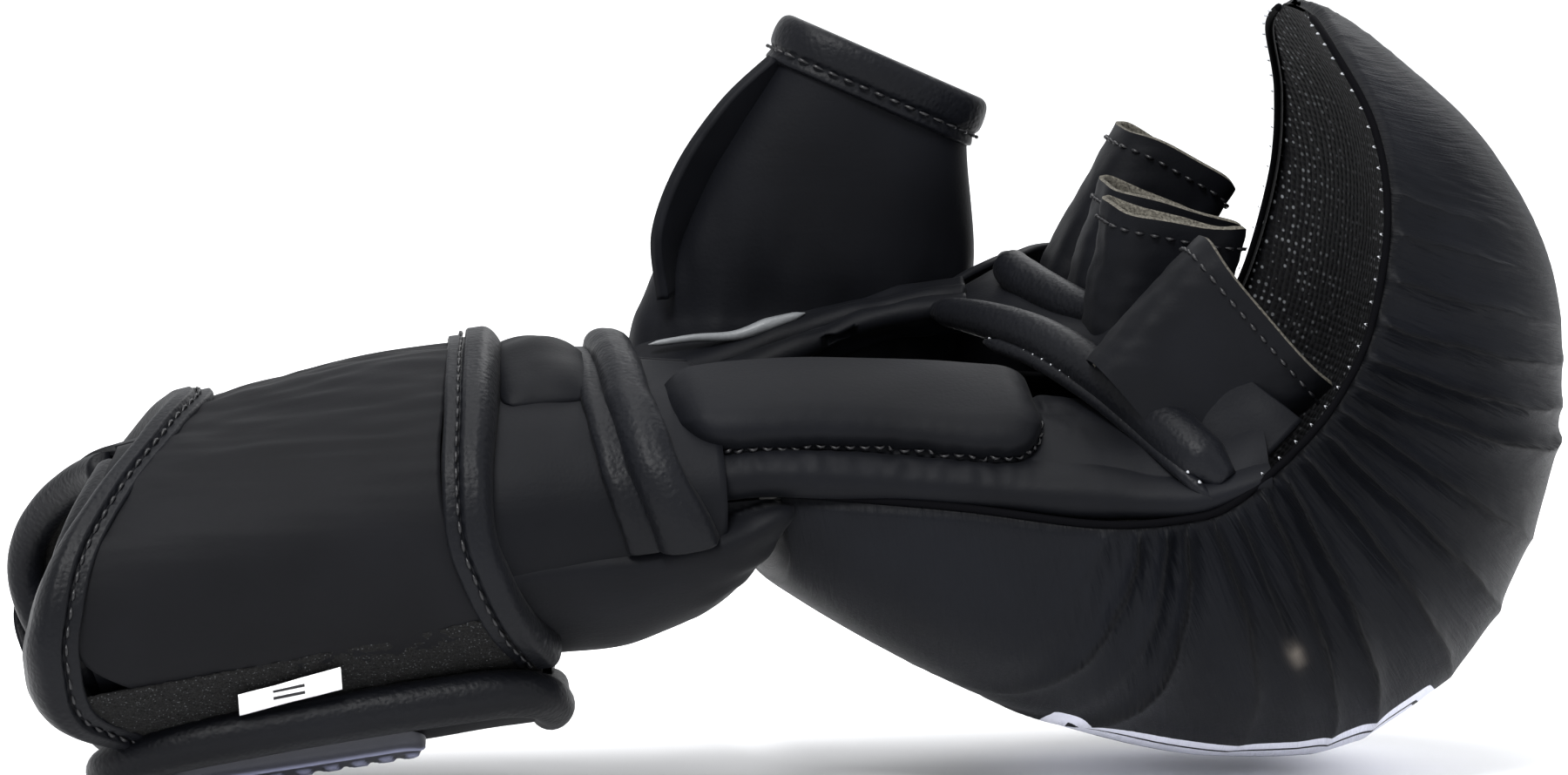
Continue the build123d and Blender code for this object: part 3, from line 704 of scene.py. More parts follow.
def make_pad_seam():
    """The sewn edge round the pad's mouth: a near-black welt, painted shade in the seam crease, and its stitches."""
    s = np.linspace(2.4, 13.9, fine(240))
    seam, outward, _, half, _ = pad_frame(s)
    for side in (-1, 1):
        path = seam.copy()
        path[:, 1] = side * (half - 0.2)
        path -= outward * 0.4
        word = "near" if side < 0 else "thumb_side"
        # The welt is near black as painted shade in the seam crease.
        welt = tube("pad_seam_welt_" + word, path, 0.7, SEAM_SHADOW, 8, steps=len(s))
        knuckle_blend(welt)
        thread_path = path + np.array([0, -0.2 * side, 0]) - outward * 0.8
        outward_side = np.tile([0.0, side * 0.3, 0.0], (len(s), 1)) - outward
        upper = s > PAD_KNUCKLE + 0.2
        rows = [(thread_path[upper], outward_side[upper])]
        # Short pale stitch bits: painted glints on the dark seam thread.
        thread = stitches("pad_seam_stitches_" + word, rows, GLINT_PAINTED_THREAD, 0.5, 3.6, 0.2)
        dress("knuckle_pad", {thread: "cover_leather"})


def print_inset(s, side, grid):
    """Millimetres inside the printed shield on the back of the pad, negative outside it."""
    half = 0.30 + 0.035 * np.sin(np.clip((s - 4.4) / 3.6, 0, 1) * np.pi) + 0 * side
    edge = (half - side) * 55
    rear = (s - 4.45 - 0.25 * side) * 28
    front = (7.75 - s - 0.35 * side) * 19
    return np.minimum(np.minimum(edge, rear), front) + 0 * grid[..., 0]


# ---- Cuff and strap -----------------------------------------------------------------------------
def cuff_points(x, degrees, offset):
    """Points round the wrist; x, degrees and offset may be arrays of one shape."""
    x, degrees, offset = np.broadcast_arrays(np.asarray(x, float), degrees, offset)
    rows = at_x(CUFF, x)
    angle = np.radians(degrees)
    up = (rows[..., 4] + offset) * np.sin(angle)
    lean = np.radians(rows[..., 2])
    return np.stack(
        [x - up * np.sin(lean), (rows[..., 3] + offset) * np.cos(angle), rows[..., 1] + up * np.cos(lean)],
        axis=-1,
    )


def round_edge(share, start, end, rounding):
    """0 at both ends of a stretch and 1 between, rising like a quarter circle."""
    inside = np.minimum(share - start, end - share) / rounding
    return np.sqrt(np.clip(1 - (1 - np.clip(inside, 0, 1)) ** 2, 0, 1))


def cuff_end(degrees):
    """x of the cuff's open end, which is cut back on the palm side and underneath."""
    angle = np.radians(degrees)
    side = np.abs(np.cos(angle)) ** 1.5
    return np.where(np.sin(angle) > 0, -115 - 16 * side, -121 - 10 * side)


def make_cuff():
    """Near and thumb-side walls with linings, and the padded back of the cuff."""
    share = np.linspace(0, 1, fine(90))
    for word, start, end in (("near", 92, 200), ("thumb_side", -20, 88)):
        degrees = np.linspace(start, end, fine(60))
        x = cuff_end(degrees)[None] + (-17 - cuff_end(degrees)[None]) * share[:, None]
        grid = cuff_points(x, degrees[None], -1.0)
        grid = pushed(grid, 0.45 * ripple(grid, 22, 2.0) + 0.15 * ripple(grid, 6, 5.0))
        wall = shell("cuff_wall_" + word, grid, WALL_LEATHER, PANEL_LEATHER)
        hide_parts(f"cuff_{word.split('_')[0]}_wall", f"cuff_{word.split('_')[0]}_lining")
        dress("hand", {wall: "cover_leather"})
        lining = surface("cuff_lining_" + word, cuff_points(x, degrees[None], -3.6), INNER_CLOTH, flip=True)
        dress("hand", {lining: "lining_fabric"})
    share = np.linspace(0, 1, fine(150))
    degrees = np.linspace(180, 360, fine(110))
    angle = np.radians(degrees)
    hand_end = -8.5 + 4.5 * np.abs(np.cos(angle)) ** 6 - 3.0 * np.abs(np.sin(angle)) ** 3
    x = cuff_end(degrees)[None] + (hand_end[None] - cuff_end(degrees)[None]) * share[:, None]
    seam = 191.5 - 10.5 * ease(x, -21, -6)
    turn = np.minimum(degrees[None] - seam, (360 - degrees[None]) - (seam - 180)) / 10
    side_round = np.sqrt(np.clip(1 - (1 - np.clip(turn, 0, 1)) ** 2, 0, 1))
    end_round = np.sqrt(np.clip(1 - (1 - np.clip((hand_end[None] - x) / 9, 0, 1)) ** 2, 0, 1))
    puff = -5.5 + 7.2 * side_round * (0.12 + 0.88 * end_round)
    puff += 1.4 * ease(x, -50, -30) * side_round * end_round
    grid = cuff_points(x, degrees[None], puff)
    wrinkle = 0.9 * ripple(grid * (0.7, 1, 1.2), 6.5, 4.2) * ease(x, -26, -12)
    grid = pushed(grid, wrinkle + 0.35 * ripple(grid, 20, 9.0))
    pad = surface("cuff_back_pad", grid, PANEL_LEATHER)
    lining_x = cuff_end(degrees)[None] + (-10 - cuff_end(degrees)[None]) * share[:, None]
    lining = cuff_points(lining_x, degrees[None], -8.6)
    inner = surface("cuff_back_lining_cloth", lining, INNER_CLOTH, flip=True)
    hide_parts("cuff_back_cover", "cuff_back_foam")
    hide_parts("cuff_back_lining")
    dress("hand", {pad: "cover_leather", inner: "lining_fabric"})


def make_cuff_trims():
    """Rolled binding at the wrist end, grained palm binding and the closure flap."""
    turns = np.linspace(99, 441, 40)
    path = cuff_points(cuff_end(turns) - 1.5, turns, -3.2)
    end = tube("cuff_end_binding_roll", path, 3.4, GRAINED, 18, steps=fine(150), up=(1, 0, 0.2))
    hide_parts("cuff_end_binding")
    degrees = np.linspace(82, 193.5, fine(110))
    share = np.linspace(0, 1, 46)
    middle = np.interp(degrees, [82, 130, 160, 193], [-31, -32.5, -31.5, -27.0])
    width = np.interp(degrees, [82, 130, 160, 193], [8.5, 9.5, 11.5, 14.5])
    x = middle[:, None] + (share[None] - 0.5) * width[:, None]
    flat = 0.7 + 0.7 * round_edge(share, 0, 0.6, 0.10)
    roll = 1.2 + 3.6 * round_edge(share, 0.36, 1.06, 0.30) - 2.0 * ease(share, 0.93, 1.0)
    height = np.where(share < 0.38, flat, roll) - 1.0 * np.exp(-(((share - 0.37) / 0.035) ** 2))
    grid = cuff_points(x, degrees[:, None], height[None] + 0 * x)
    grid = pushed(grid, 0.25 * ripple(grid, 5, 2.0))
    binding = shell("palm_binding_band", grid, FOLD_LEATHER, GRAINED, flip=True)
    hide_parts("cuff_palm_binding")
    seam_x = middle + (0.335 - 0.5) * width
    line = cuff_points(seam_x, degrees, 1.5)
    thread = stitches("palm_binding_stitches", [(line, line - cuff_points(seam_x, degrees, -5))], THREAD, 2.0, 0.9)
    bulge_x = np.linspace(0, 1, 40)
    turn = np.linspace(66, 126, 50)
    swell = np.sin(np.pi * np.clip((turn - 66) / 60, 0, 1)) ** 0.7
    x = -50 + 15 * bulge_x[:, None] + 0 * turn[None]
    round_x = round_edge(bulge_x, 0, 1, 0.5)[:, None]
    grid = cuff_points(x, turn[None], -0.4 + 4.6 * swell[None] * round_x)
    grid = pushed(grid, 0.9 * ripple(grid, 8, 6.0))
    flap = shell("closure_flap_fold", grid, FOLD_LEATHER, PANEL_LEATHER)
    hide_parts("cuff_closure_flap")
    corner = [(-52, 138), (-47, 137), (-43.5, 135), (-42, 130), (-41, 124), (-38, 119)]
    line = resample([cuff_points(a, b, -0.7) for a, b in corner], 60)
    seam = stitches("closure_flap_stitches", [(line, line - np.array([0, 0, 50.0]))], THREAD, 1.7, 0.8)
    dress("hand", {seam: "cover_leather"})
    dress("hand", {end: "binding_leather", binding: "binding_leather", thread: "binding_leather"})
    dress("hand", {flap: "cover_leather"})


STRAP_EDGES = [
    # angle, x of the wrist edge, x of the edge towards the hand
    (-80, -122, -45),
    (-50, -131, -38),
    (-25, -136, -35),
    (0, -133, -37),
    (31, -118, -40.5),
    (60, -108.5, -44),
    (90, -106, -46.5),
    (115, -115, -50),
    (135, -125.5, -53),
    (155, -134.5, -56),
    (175, -139.5, -57.6),
    (190, -141.5, -56.5),
    (213, -140, -52.5),
    (238, -129, -46),
]
STRAP_PARTS = [
    # name, from, to, body before and after the hinge, hinge angle, the CAD stretches it stands for
    ("near", 233, 88, "hand", "strap_palm", 127.7, ("strap_near", "strap_palm")),
    ("side", 88, 4, "strap_palm", "strap_side", 51.7, ("strap_side",)),
    ("turn", 4, -78, "strap_side", "strap_tab", -42.5, ()),
]
EDGE_WIDTH = 9.5


def strap_edges(degrees):
    """x of the strap's two edges at angles round the wrist."""
    rows = at_x(STRAP_EDGES, np.asarray(degrees, float))
    return rows[..., 1], rows[..., 2]


def strap_blend(piece, hinge, reach=9):
    """The piece's transform is baked into its points; two points at the hinge angle are worked out but not used."""
    start = cuff_points(-85, hinge + reach, STRAP_TOP)
    end = cuff_points(-85, hinge - reach, STRAP_TOP)
    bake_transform(piece)


def bound_edge(name, degrees, line, sign, lift):
    """One bound edge of the strap: a flat strip by the panel, a groove and a wide roll."""
    across = np.concatenate([np.linspace(0, 1, 30), np.linspace(1, 0, 14)[1:-1]])
    top = np.arange(len(across)) < 30
    roll = 7.0 * round_edge(across, 0, 1.3, 0.36)
    strip = 6.0 * round_edge(across, 0.2, 1.0, 0.06)
    high = np.where(across < 0.66, roll, strip) - 1.5 * np.exp(-(((across - 0.66) / 0.03) ** 2))
    out = np.where(top, STRAP_LOW + high, STRAP_LOW)
    x = line[:, None] + sign * across[None] * EDGE_WIDTH
    out = out[None] + lift[:, None] + 0.3 * ripple(cuff_points(x, degrees[:, None], 0), 9, 1.0)
    grid = cuff_points(x, degrees[:, None], out)
    return surface(name, grid, GRAINED, wrap=True, flip=sign < 0)


def make_strap():
    """The wide strap in three stretches, with bound edges and stitch rows."""
    for name, start, end, before, after, hinge, nodes in STRAP_PARTS:
        degrees = np.linspace(start, end, int(abs(start - end) * 1.2 * DETAIL) + 8)
        wrist, hand = strap_edges(degrees)
        lift = TAB_LOW * ease(-degrees, 30, 62) if name == "turn" else 0 * degrees
        share = np.linspace(0, 1, fine(80))
        low, high = wrist + EDGE_WIDTH - 1.0, hand - EDGE_WIDTH + 1.0
        x = low[:, None] + (high - low)[:, None] * share[None]
        around = degrees[:, None] + 0 * share[None]
        if name == "near":
            foot = 210 + 6.5 * share[None]
            around = 88 + (foot - 88) * ((degrees[:, None] - 88) / (start - 88))
        bow = 0.8 * np.sin(np.pi * share[None]) + 0 * x
        grid = cuff_points(x, around, STRAP_TOP - 0.4 + bow + lift[:, None])
        soft = 0.9 * ripple(grid * (0.5, 1, 1), 16, 8.0)
        upper = ease(np.sin(np.radians(around)), 0.15, 0.8)
        folds = 0.55 * ripple(grid * (0.10, 1.0, 1.6), 3.4, 2.5) * upper
        folds += 1.3 * ripple(grid * (0.3, 1.0, 1.0), 14, 3.1) * upper
        grid = pushed(grid, soft + folds)
        panel = shell(f"strap_panel_{name}", grid, STRAP_PADDING, STRAP_LEATHER, flip=True)
        pieces = [(panel, "cover_leather")]
        rows = []
        for side, line in (("wrist", wrist), ("hand", hand)):
            sign = 1 if side == "wrist" else -1
            bound = bound_edge(f"strap_binding_{side}_{name}", degrees, line, sign, lift)
            pieces.append((bound, "binding_leather"))
            seam_x = line + sign * 0.72 * EDGE_WIDTH
            seam = cuff_points(seam_x, degrees, STRAP_LOW + 6.0 + lift)
            rows.append((seam, seam - cuff_points(seam_x, degrees, -5)))
        thread = stitches(f"strap_stitches_{name}", rows, THREAD, 2.3, 1.0)
        pieces.append((thread, "binding_leather"))
        for stretch in nodes:
            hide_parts(stretch + "_leather", stretch + "_foam")
            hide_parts(stretch + "_wrist_binding")
            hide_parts(stretch + "_hand_binding")
        for piece, slot in pieces:
            strap_blend(piece, hinge)


def make_loop_and_label():
    """Loop tape along the strap's lower edge and the plain size label on it."""
    share = np.linspace(0, 1, 90)
    degrees = np.linspace(206, 244, 30)
    wrist, hand = strap_edges(degrees)
    low, high = (wrist + 8)[:, None], (hand - 5)[:, None]
    x = low + (high - low) * share[None]
    grid = cuff_points(x, degrees[:, None], STRAP_TOP - 0.6 + 0 * x)
    grid = pushed(grid, 0.4 * ripple(grid, 1.5, 3.0))
    loop = shell("loop_tape_strip", grid, LOOP_TAPE, LOOP, flip=True)
    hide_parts("strap_loop_tape")
    dress("hand", {loop: "loop_tape"})
    x = np.linspace(-106.5, -88.5, 24)
    turn = np.linspace(-4.4, 4.6, 12)
    middle = 217.2 - 1.5 * (x + 97.5) / 9
    grid = cuff_points(x[None] + 0 * turn[:, None], middle[None] + turn[:, None], STRAP_TOP + 1.8)
    grid = pushed(grid, 0.25 * ripple(grid, 7, 1.0))
    label = shell("size_label_cloth", grid, LABEL_CLOTH, LABEL, flip=True)
    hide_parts("size_label")
    dress("hand", {label: "label_cloth"})
    for number, shift in enumerate((-2.2, 1.0)):
        spots = cuff_points(np.linspace(-100.5, -95, 8), 217.2 + shift, STRAP_TOP + 2.0)
        mark = tube(f"size_label_bar_{number}", spots, 0.5, THREAD, 8, steps=12, up=(0, 0, 1))
        dress("hand", {mark: "label_cloth"})


def tab_points(x, degrees, offset):
    """Points of the tab, which hangs lower towards the hand."""
    x = np.asarray(x, float)
    drop = 3.2 * np.clip((x + 117) / 73, -0.5, 1.1)
    return cuff_points(x, degrees, offset + drop)


def tab_x(share, degrees):
    """x across the tab, from its wrist edge to its hand edge, at angles round the wrist."""
    turn = np.clip((-76 - np.asarray(degrees, float)) / 51, 0, 1)
    wrist = -118 - 9.5 * turn
    hand = -49 - 6.0 * turn
    return wrist + (hand - wrist) * share


def make_tab():
    """The strap's end: padded leather, thick rolled rim, hook tape and a plain rubber patch."""
    share = np.linspace(0, 1, fine(70))
    degrees = np.linspace(-74, -125.5, fine(54))
    x = tab_x(share[None], degrees[:, None])
    grid = tab_points(x, degrees[:, None], TAB_TOP - 1.0)
    grid = pushed(grid, 0.4 * ripple(grid, 15, 2.0))
    tab = shell("tab_leather_panel", grid, TAB_PADDING, PANEL_LEATHER, flip=True)
    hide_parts("tab_leather", "tab_foam")
    middle = (TAB_LOW + TAB_TOP) / 2 - 0.4
    rim_places = [(-45, -74), (-47, -88), (-49, -102), (-50, -114), (-53.5, -123), (-60, -127.5), (-72, -129)]
    rim_places += [(-86, -129.5), (-102, -129), (-116, -127), (-125, -122), (-129, -113), (-127, -100)]
    rim_places += [(-123, -88), (-121, -74)]
    rim_path = np.array([tab_points(a, b, middle) for a, b in rim_places])
    sizes = [3.4, 3.6, 3.8, 4.0, 4.2, 4.4, 4.4, 4.4, 4.4, 4.5, 4.4, 4.2, 4.0, 3.6, 3.4]
    rim = tube("tab_rolled_rim_edge", rim_path, sizes, GRAINED, 24, steps=fine(220), up=(0, 0.5, 1))
    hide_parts("tab_rolled_rim")
    under = tab_points(x, degrees[:, None], TAB_LOW + 1.0)
    hook = shell("tab_hook_tape_strip", under, HOOK_TAPE, HOOK, flip=True)
    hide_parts("tab_hook_tape")
    x = np.linspace(0, 1, 90)
    y = np.linspace(0, 1, 40)
    corner = round_edge(x, 0, 1, 0.14)[None] * 0.5
    angles = -101 + (y[:, None] - 0.5) * 44 * (0.5 + corner)
    rise = 2.0 * round_edge(y, 0, 1, 0.10)[:, None] * round_edge(x, 0, 1, 0.05)[None]
    border = np.exp(-(((np.abs(y[:, None] - 0.5) - 0.36) / 0.022) ** 2)) + 0 * x[None]
    wave = np.sin(x[None] * 60 + 9 * np.abs(y[:, None] - 0.5))
    bars = ease(wave, 0.0, 0.35) * ease(0.26 - np.abs(y[:, None] - 0.5), 0, 0.03)
    grid = tab_points(-120 + 46 * x[None], angles, TAB_TOP - 0.4 + rise + 0.5 * border + 0.45 * bars)
    patch = surface("tab_rubber_patch_plain", grid, RUBBER, flip=True)
    point_values(patch, "relief", np.clip(border + bars, 0, 1))
    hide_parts("tab_rubber_patch")
    dress("strap_tab", {tab: "cover_leather", rim: "binding_leather", hook: "hook_tape", patch: "badge_rubber"})


# ---- Palm ---------------------------------------------------------------------------------------
def palm_points(x, degrees, offset):
    """Points of the hand part above the pad seam."""
    x, degrees, offset = np.broadcast_arrays(np.asarray(x, float), degrees, offset)
    rows = at_x(PALM, x)
    angle = np.radians(degrees)
    side = (rows[..., 2] + offset) * np.cos(angle)
    return np.stack([x, side, rows[..., 1] + (rows[..., 3] + offset) * np.sin(angle)], axis=-1)


def side_blend(piece):
    """The piece's transform is baked into its points."""
    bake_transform(piece)


def side_pad_edge(x, share):
    """How deep a place is inside the side pad's stitched outline, 1 well inside and 0 outside."""
    lift = 0.5 * (1 - np.sqrt(np.clip(1 - (np.clip(np.abs(x - 7) / 33.5, 0, 1)) ** 9, 0, 1)))
    floor = 0.38 + 0.035 * np.sin((x + 26) / 60 * np.pi) + lift
    inside_low = (share - floor) * 30
    inside_ends = np.minimum(x + 26.5, 40.5 - x)
    return np.minimum(inside_low, inside_ends)


def make_near_side():
    """The little finger side of the hand: smooth panel, and the raised and stitched side pad."""
    x = np.linspace(-28, 77, fine(260))
    share = np.linspace(0, 1, fine(120))
    top = 118 + 3 * ease(x, 38, 60) + 26 * ease(x, 44, 77)
    degrees = 181 - (181 - top[:, None]) * share[None]
    deep = side_pad_edge(x[:, None], share[None])
    rise = 5.6 * np.sqrt(np.clip(1 - (1 - np.clip(deep / 7.0, 0, 1)) ** 2, 0, 1))
    rise -= 0.9 * np.exp(-((deep / 0.8) ** 2))
    base = 2.2 * np.sin(np.pi * np.clip(share[None] / 0.42, 0, 1)) * ease(x, -32, -10)[:, None]
    tuck = 7.0 * (1 - np.sqrt(np.clip(1 - (1 - np.clip((x + 28) / 7.0, 0, 1)) ** 2, 0, 1)))
    seam_tuck = 2.2 * np.exp(-share / 0.035)
    along = x[:, None] + 7.5 * (1 - share[None]) ** 2 * (1 - ease(x, -28, 20))[:, None]
    grid = palm_points(along, degrees, rise + base - 0.8 - tuck[:, None] - seam_tuck[None])
    puckers = 0.35 * ripple(grid * (1.6, 1, 0.6), 4.0, 11.0) * np.exp(-((deep + 2.5) / 5) ** 2)
    drape = 0.55 * ripple(grid, 17, 6.6) + 0.25 * ripple(grid * (1, 1, 0.5), 6, 2.2) * ease(x, 30, 60)[:, None]
    grid = pushed(grid, puckers + drape)
    panel = surface("palm_side_leather", grid, PANEL_LEATHER)
    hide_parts("palm_near_panel", "side_pad_cover", "side_pad_foam")
    side_blend(panel)
    inner = surface("palm_side_inner_face", grid - normals(grid) * SIDE_LEATHER, INNER_CLOTH, flip=True)
    side_blend(inner)
    line = []
    for a in np.linspace(-25.8, 40.2, 110):
        values = side_pad_edge(a, share)
        k = int(np.argmax(values > 0.0))
        i = int(np.argmin(np.abs(x - a)))
        if values.max() > 0:
            line.append((grid[i, k], normals(grid)[i, k]))
    path = np.array([p for p, _ in line])
    out = np.array([n for _, n in line])
    keep = out[:, 1].mean()
    thread = stitches("side_pad_stitches", [(path, out * (1 if keep < 0 else -1))], THREAD, 1.9, 0.7, 0.42, 0.3)
    side_blend(thread)


def make_thumb_side():
    """The thumb side of the hand, from the pad seam up to the palm opening's far edge."""
    x = np.linspace(-27, 70, fine(110))
    share = np.linspace(0, 1, 60)
    top = 62 - 8 * ease(x, 36, 66)
    degrees = -1 + (top[:, None] + 1) * share[None]
    grid = palm_points(x[:, None], degrees, -0.8 + 0 * degrees)
    grid = pushed(grid, 0.5 * ripple(grid, 15, 1.6))
    panel = shell("palm_thumb_side_leather", grid, SIDE_LEATHER, PANEL_LEATHER, flip=True)
    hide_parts("palm_thumb_panel")
    side_blend(panel)
    low = [(-27, 17, 66), (-20, 19, 64.5), (-8, 22, 67), (5, 24, 72), (20, 24, 77.8), (31, 22, 80.0), (37, 20, 80.6)]
    high = [(-27, 29, 70), (-21.4, 31.5, 73), (-5, 32, 75.4), (6, 32, 78.6), (18, 32, 80.8), (29, 31, 83.2)]
    high += [(38, 27, 85)]
    low, high = resample(low, 110), resample(high, 110)
    share = np.linspace(-0.35, 1.0, 50)
    line = low[:, None] + (high - low)[:, None] * np.maximum(share, 0)[None, :, None]
    under = np.clip(-share, 0, 1)[None]
    line[..., 2] -= 14 * under**1.3
    line[..., 1] += 9 * under**0.8
    fold = 1.8 * np.exp(-(((share - 0.12) / 0.16) ** 2)) + 1.1 * np.exp(-(((share - 0.55) / 0.10) ** 2))
    line += np.array([0, -0.75, 0.35]) * fold[None, :, None]
    line = pushed(line, 0.8 * ripple(line * (0.45, 1, 1.2), 4.5, 3.4))
    web = shell("thumb_base_leather", line, BASE_LEATHER, PANEL_LEATHER, flip=True)
    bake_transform(web)


def make_rolls():
    """The grained roll along the palm opening and the smaller one in the web by the thumb."""
    path = [(31, 23, 80.3), (34.5, 15, 80.4), (39.5, 2, 79.8), (45.5, -13, 77.8), (53, -29, 72.5), (59.5, -39.5, 66.5)]
    path += [(64.6, -48.5, 61.5), (69.6, -53, 56.8)]
    sizes = [2.4, 3.1, 3.7, 4.0, 4.5, 4.9, 5.0, 4.6]
    roll = tube("palm_opening_roll", path, sizes, GRAINED, 22, (0.5, 0.5), steps=fine(90))
    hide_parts("palm_roll")
    line = resample([(p[0] - 2.6, p[1] - 3.4, p[2] - 2.2) for p in path[2:]], 90)
    facing = np.tile([-0.4, -0.8, 0.1], (90, 1))
    # Short pale stitch bits: painted glints on the dark roll thread.
    thread = stitches("palm_roll_stitches", [(line, facing)], GLINT_PAINTED_THREAD, 0.7, 2.2, 0.26)
    beside = [(p[0] - 3.0, p[1] - 2.2, p[2] - 3.0) for p in path[2:]]
    welt = tube("palm_roll_welt", beside, 1.3, GRAINED, 10, (0.4, 0.4))
    path = [(44.5, 23, 89.5), (46, 17, 87), (50, 7.5, 84.2), (54.2, -3, 82.2), (57.5, -12, 82.6), (60.5, -18, 84.6)]
    path += [(63, -21, 87.5)]
    sizes = [3.2, 3.9, 3.9, 3.8, 3.4, 2.6, 0.9]
    web = tube("web_roll_leather", path, sizes, GRAINED, 20, (0.5, 0.3), steps=fine(70))
    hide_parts("web_roll")
    dress("knuckle_pad", {piece: "binding_leather" for piece in (roll, thread, welt, web)})


def make_finger_base():
    """The leather from the palm roll up to the foot of the finger stalls."""
    foot = [(32, 26, 80.5), (36, 16, 80.2), (41, 3, 79.4), (47, -12, 77.4), (54, -28, 72.4), (59.5, -39.5, 66.7)]
    foot += [(65.5, -45.8, 61), (72, -50, 56)]
    head = [(47, 31, 89), (49.5, 18, 86.5), (53.5, 8, 84), (57.5, -3, 82.5), (60, -14, 84), (62, -28, 87)]
    head += [(72, -42, 77), (84, -49, 67)]
    low = resample(foot, fine(110))
    high = resample(head, fine(110))
    share = np.linspace(0, 1, 46)
    grid = between(low, high, share)
    bow = 1.8 * np.sin(np.pi * share)[None, :, None] * np.array([0.5, -0.6, 0.5])
    grid = grid + bow
    grid = pushed(grid, 0.6 * ripple(grid, 9, 4.4))
    base = shell("finger_base_leather", grid, FINGER_LEATHER, PANEL_LEATHER, flip=False)
    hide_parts("finger_panel")
    dress("knuckle_pad", {base: "cover_leather"})


def make_index_side():
    """The leather below the index stall, which closes the thumb side of the palm."""
    share = np.linspace(0, 1, 40)
    low = resample([(20, 38, 66), (38, 41, 66), (56, 45, 65), (74, 49, 63), (86, 50, 69)], fine(80))
    high = resample([(28, 28, 81), (42, 32, 88), (54, 43, 90), (68, 47, 90), (80, 46, 88)], fine(80))
    grid = between(low, high, share)
    grid += np.sin(np.pi * share)[None, :, None] * np.array([0, 2.5, 0])
    grid = pushed(grid, 0.8 * ripple(grid, 9, 8.4))
    side = shell("index_side_leather", grid, FINGER_LEATHER, PANEL_LEATHER, flip=True)
    dress("knuckle_pad", {side: "cover_leather"})


# ---- Finger stalls ------------------------------------------------------------------------------
def stall_grid(finger, inset, start, end, count):
    """Points round one stall between two places along it, 0 at its foot and 1 at its free edge."""
    y, palm_edge, back_edge, length = FINGERS[finger]
    palm_corner = np.array([palm_edge[0], 0, palm_edge[1]], float)
    back_corner = np.array([back_edge[0], 0, back_edge[1]], float)
    across = back_corner - palm_corner
    high = np.linalg.norm(across)
    across /= high
    axis = np.array([-across[2], 0, across[0]])
    middle = (palm_corner + back_corner) / 2
    turn = np.linspace(0, 2 * np.pi, fine(96), endpoint=False)
    place = np.linspace(start, end, count)
    a = np.copysign(np.abs(np.cos(turn)) ** 0.5, np.cos(turn)) * (high / 2 - inset)
    b = np.copysign(np.abs(np.sin(turn)) ** 0.6, np.sin(turn)) * (STALL_WIDTH / 2 - inset)
    squeeze = 1 - 0.10 * np.sin(np.pi * np.clip(place, 0, 1)) - 0.16 * (1 - place) ** 2
    grid = middle + axis * ((place - 1) * length)[:, None, None]
    grid = grid + across * (a[None] * (1 - 0.12 * (1 - place[:, None]) ** 2))[..., None]
    grid[..., 1] += y + b[None] * squeeze[:, None]
    lip = ease(place, 0.75, 1.0)[:, None] * 1.4 * np.sin(turn * 2 + y * 0.3)[None]
    grid += axis * lip[..., None] * 0.6
    return grid, axis


def make_stalls():
    """Four leather stalls with raw cut edges, a stitch row below the edge and a brushed inner side."""
    for finger in FINGERS:
        grid, axis = stall_grid(finger, 0.2, -0.25, 1.0, fine(52))
        soft = 0.7 * ripple(grid, 11, 3.0 + len(finger)) + 0.28 * ripple(grid * (1, 1, 1.8), 4.5, 8.0)
        out, sign = ring_normals(grid)
        grid = grid + out * soft[..., None] * 0.9
        flip = sign < 0
        leather_piece = surface(f"{finger}_stall_leather", grid, PANEL_LEATHER, wrap=True, flip=flip)
        rows = grid.shape[0]
        inner = grid - out * STALL_WALL
        inner[-1] = grid[-1] - out[-1] * 1.0
        lining = surface(f"{finger}_stall_inner", inner, RAW_EDGE, wrap=True, flip=not flip)
        edge = np.stack([grid[-1], grid[-1] - out[-1] * 0.7 + axis * 0.35, inner[-1]], axis=0)
        cut = surface(f"{finger}_stall_cut_edge", edge, RAW_EDGE, wrap=True, flip=flip)
        row = int(rows * (1 - 3.6 / (1.25 * FINGERS[finger][3])))
        path = np.concatenate([grid[row], grid[row][:1]])
        facing = np.concatenate([out[row], out[row][:1]])
        thread = stitches(f"{finger}_stall_stitches", [(path, facing)], THREAD, 1.9, 0.9, 0.34, 0.25)
        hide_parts(f"{finger}_stall")
        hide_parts(f"{finger}_stall_lining")
        dress(f"{finger}_finger", {leather_piece: "cover_leather", thread: "cover_leather"})
        dress(f"{finger}_finger", {lining: "lining_fabric", cut: "lining_fabric"})


# ---- Thumb --------------------------------------------------------------------------------------
def thumb_grid(start, end, count):
    """Points round the thumb sheath between two rows of its table."""
    place = np.linspace(start, end, count)
    rows = spline([(*c, w, t, lean) for c, w, t, lean in THUMB], place)
    turn = np.linspace(0, 2 * np.pi, fine(120), endpoint=False)
    lean = np.radians(rows[:, 5])[:, None]
    a = np.copysign(np.abs(np.cos(turn)) ** 0.9, np.cos(turn))[None] * (rows[:, 3] / 2)[:, None]
    b = np.copysign(np.abs(np.sin(turn)) ** 0.8, np.sin(turn))[None] * (rows[:, 4] / 2)[:, None]
    return np.stack([rows[:, :1] + a * np.cos(lean), rows[:, 1:2] + b, rows[:, 2:3] + a * np.sin(lean)], axis=-1)


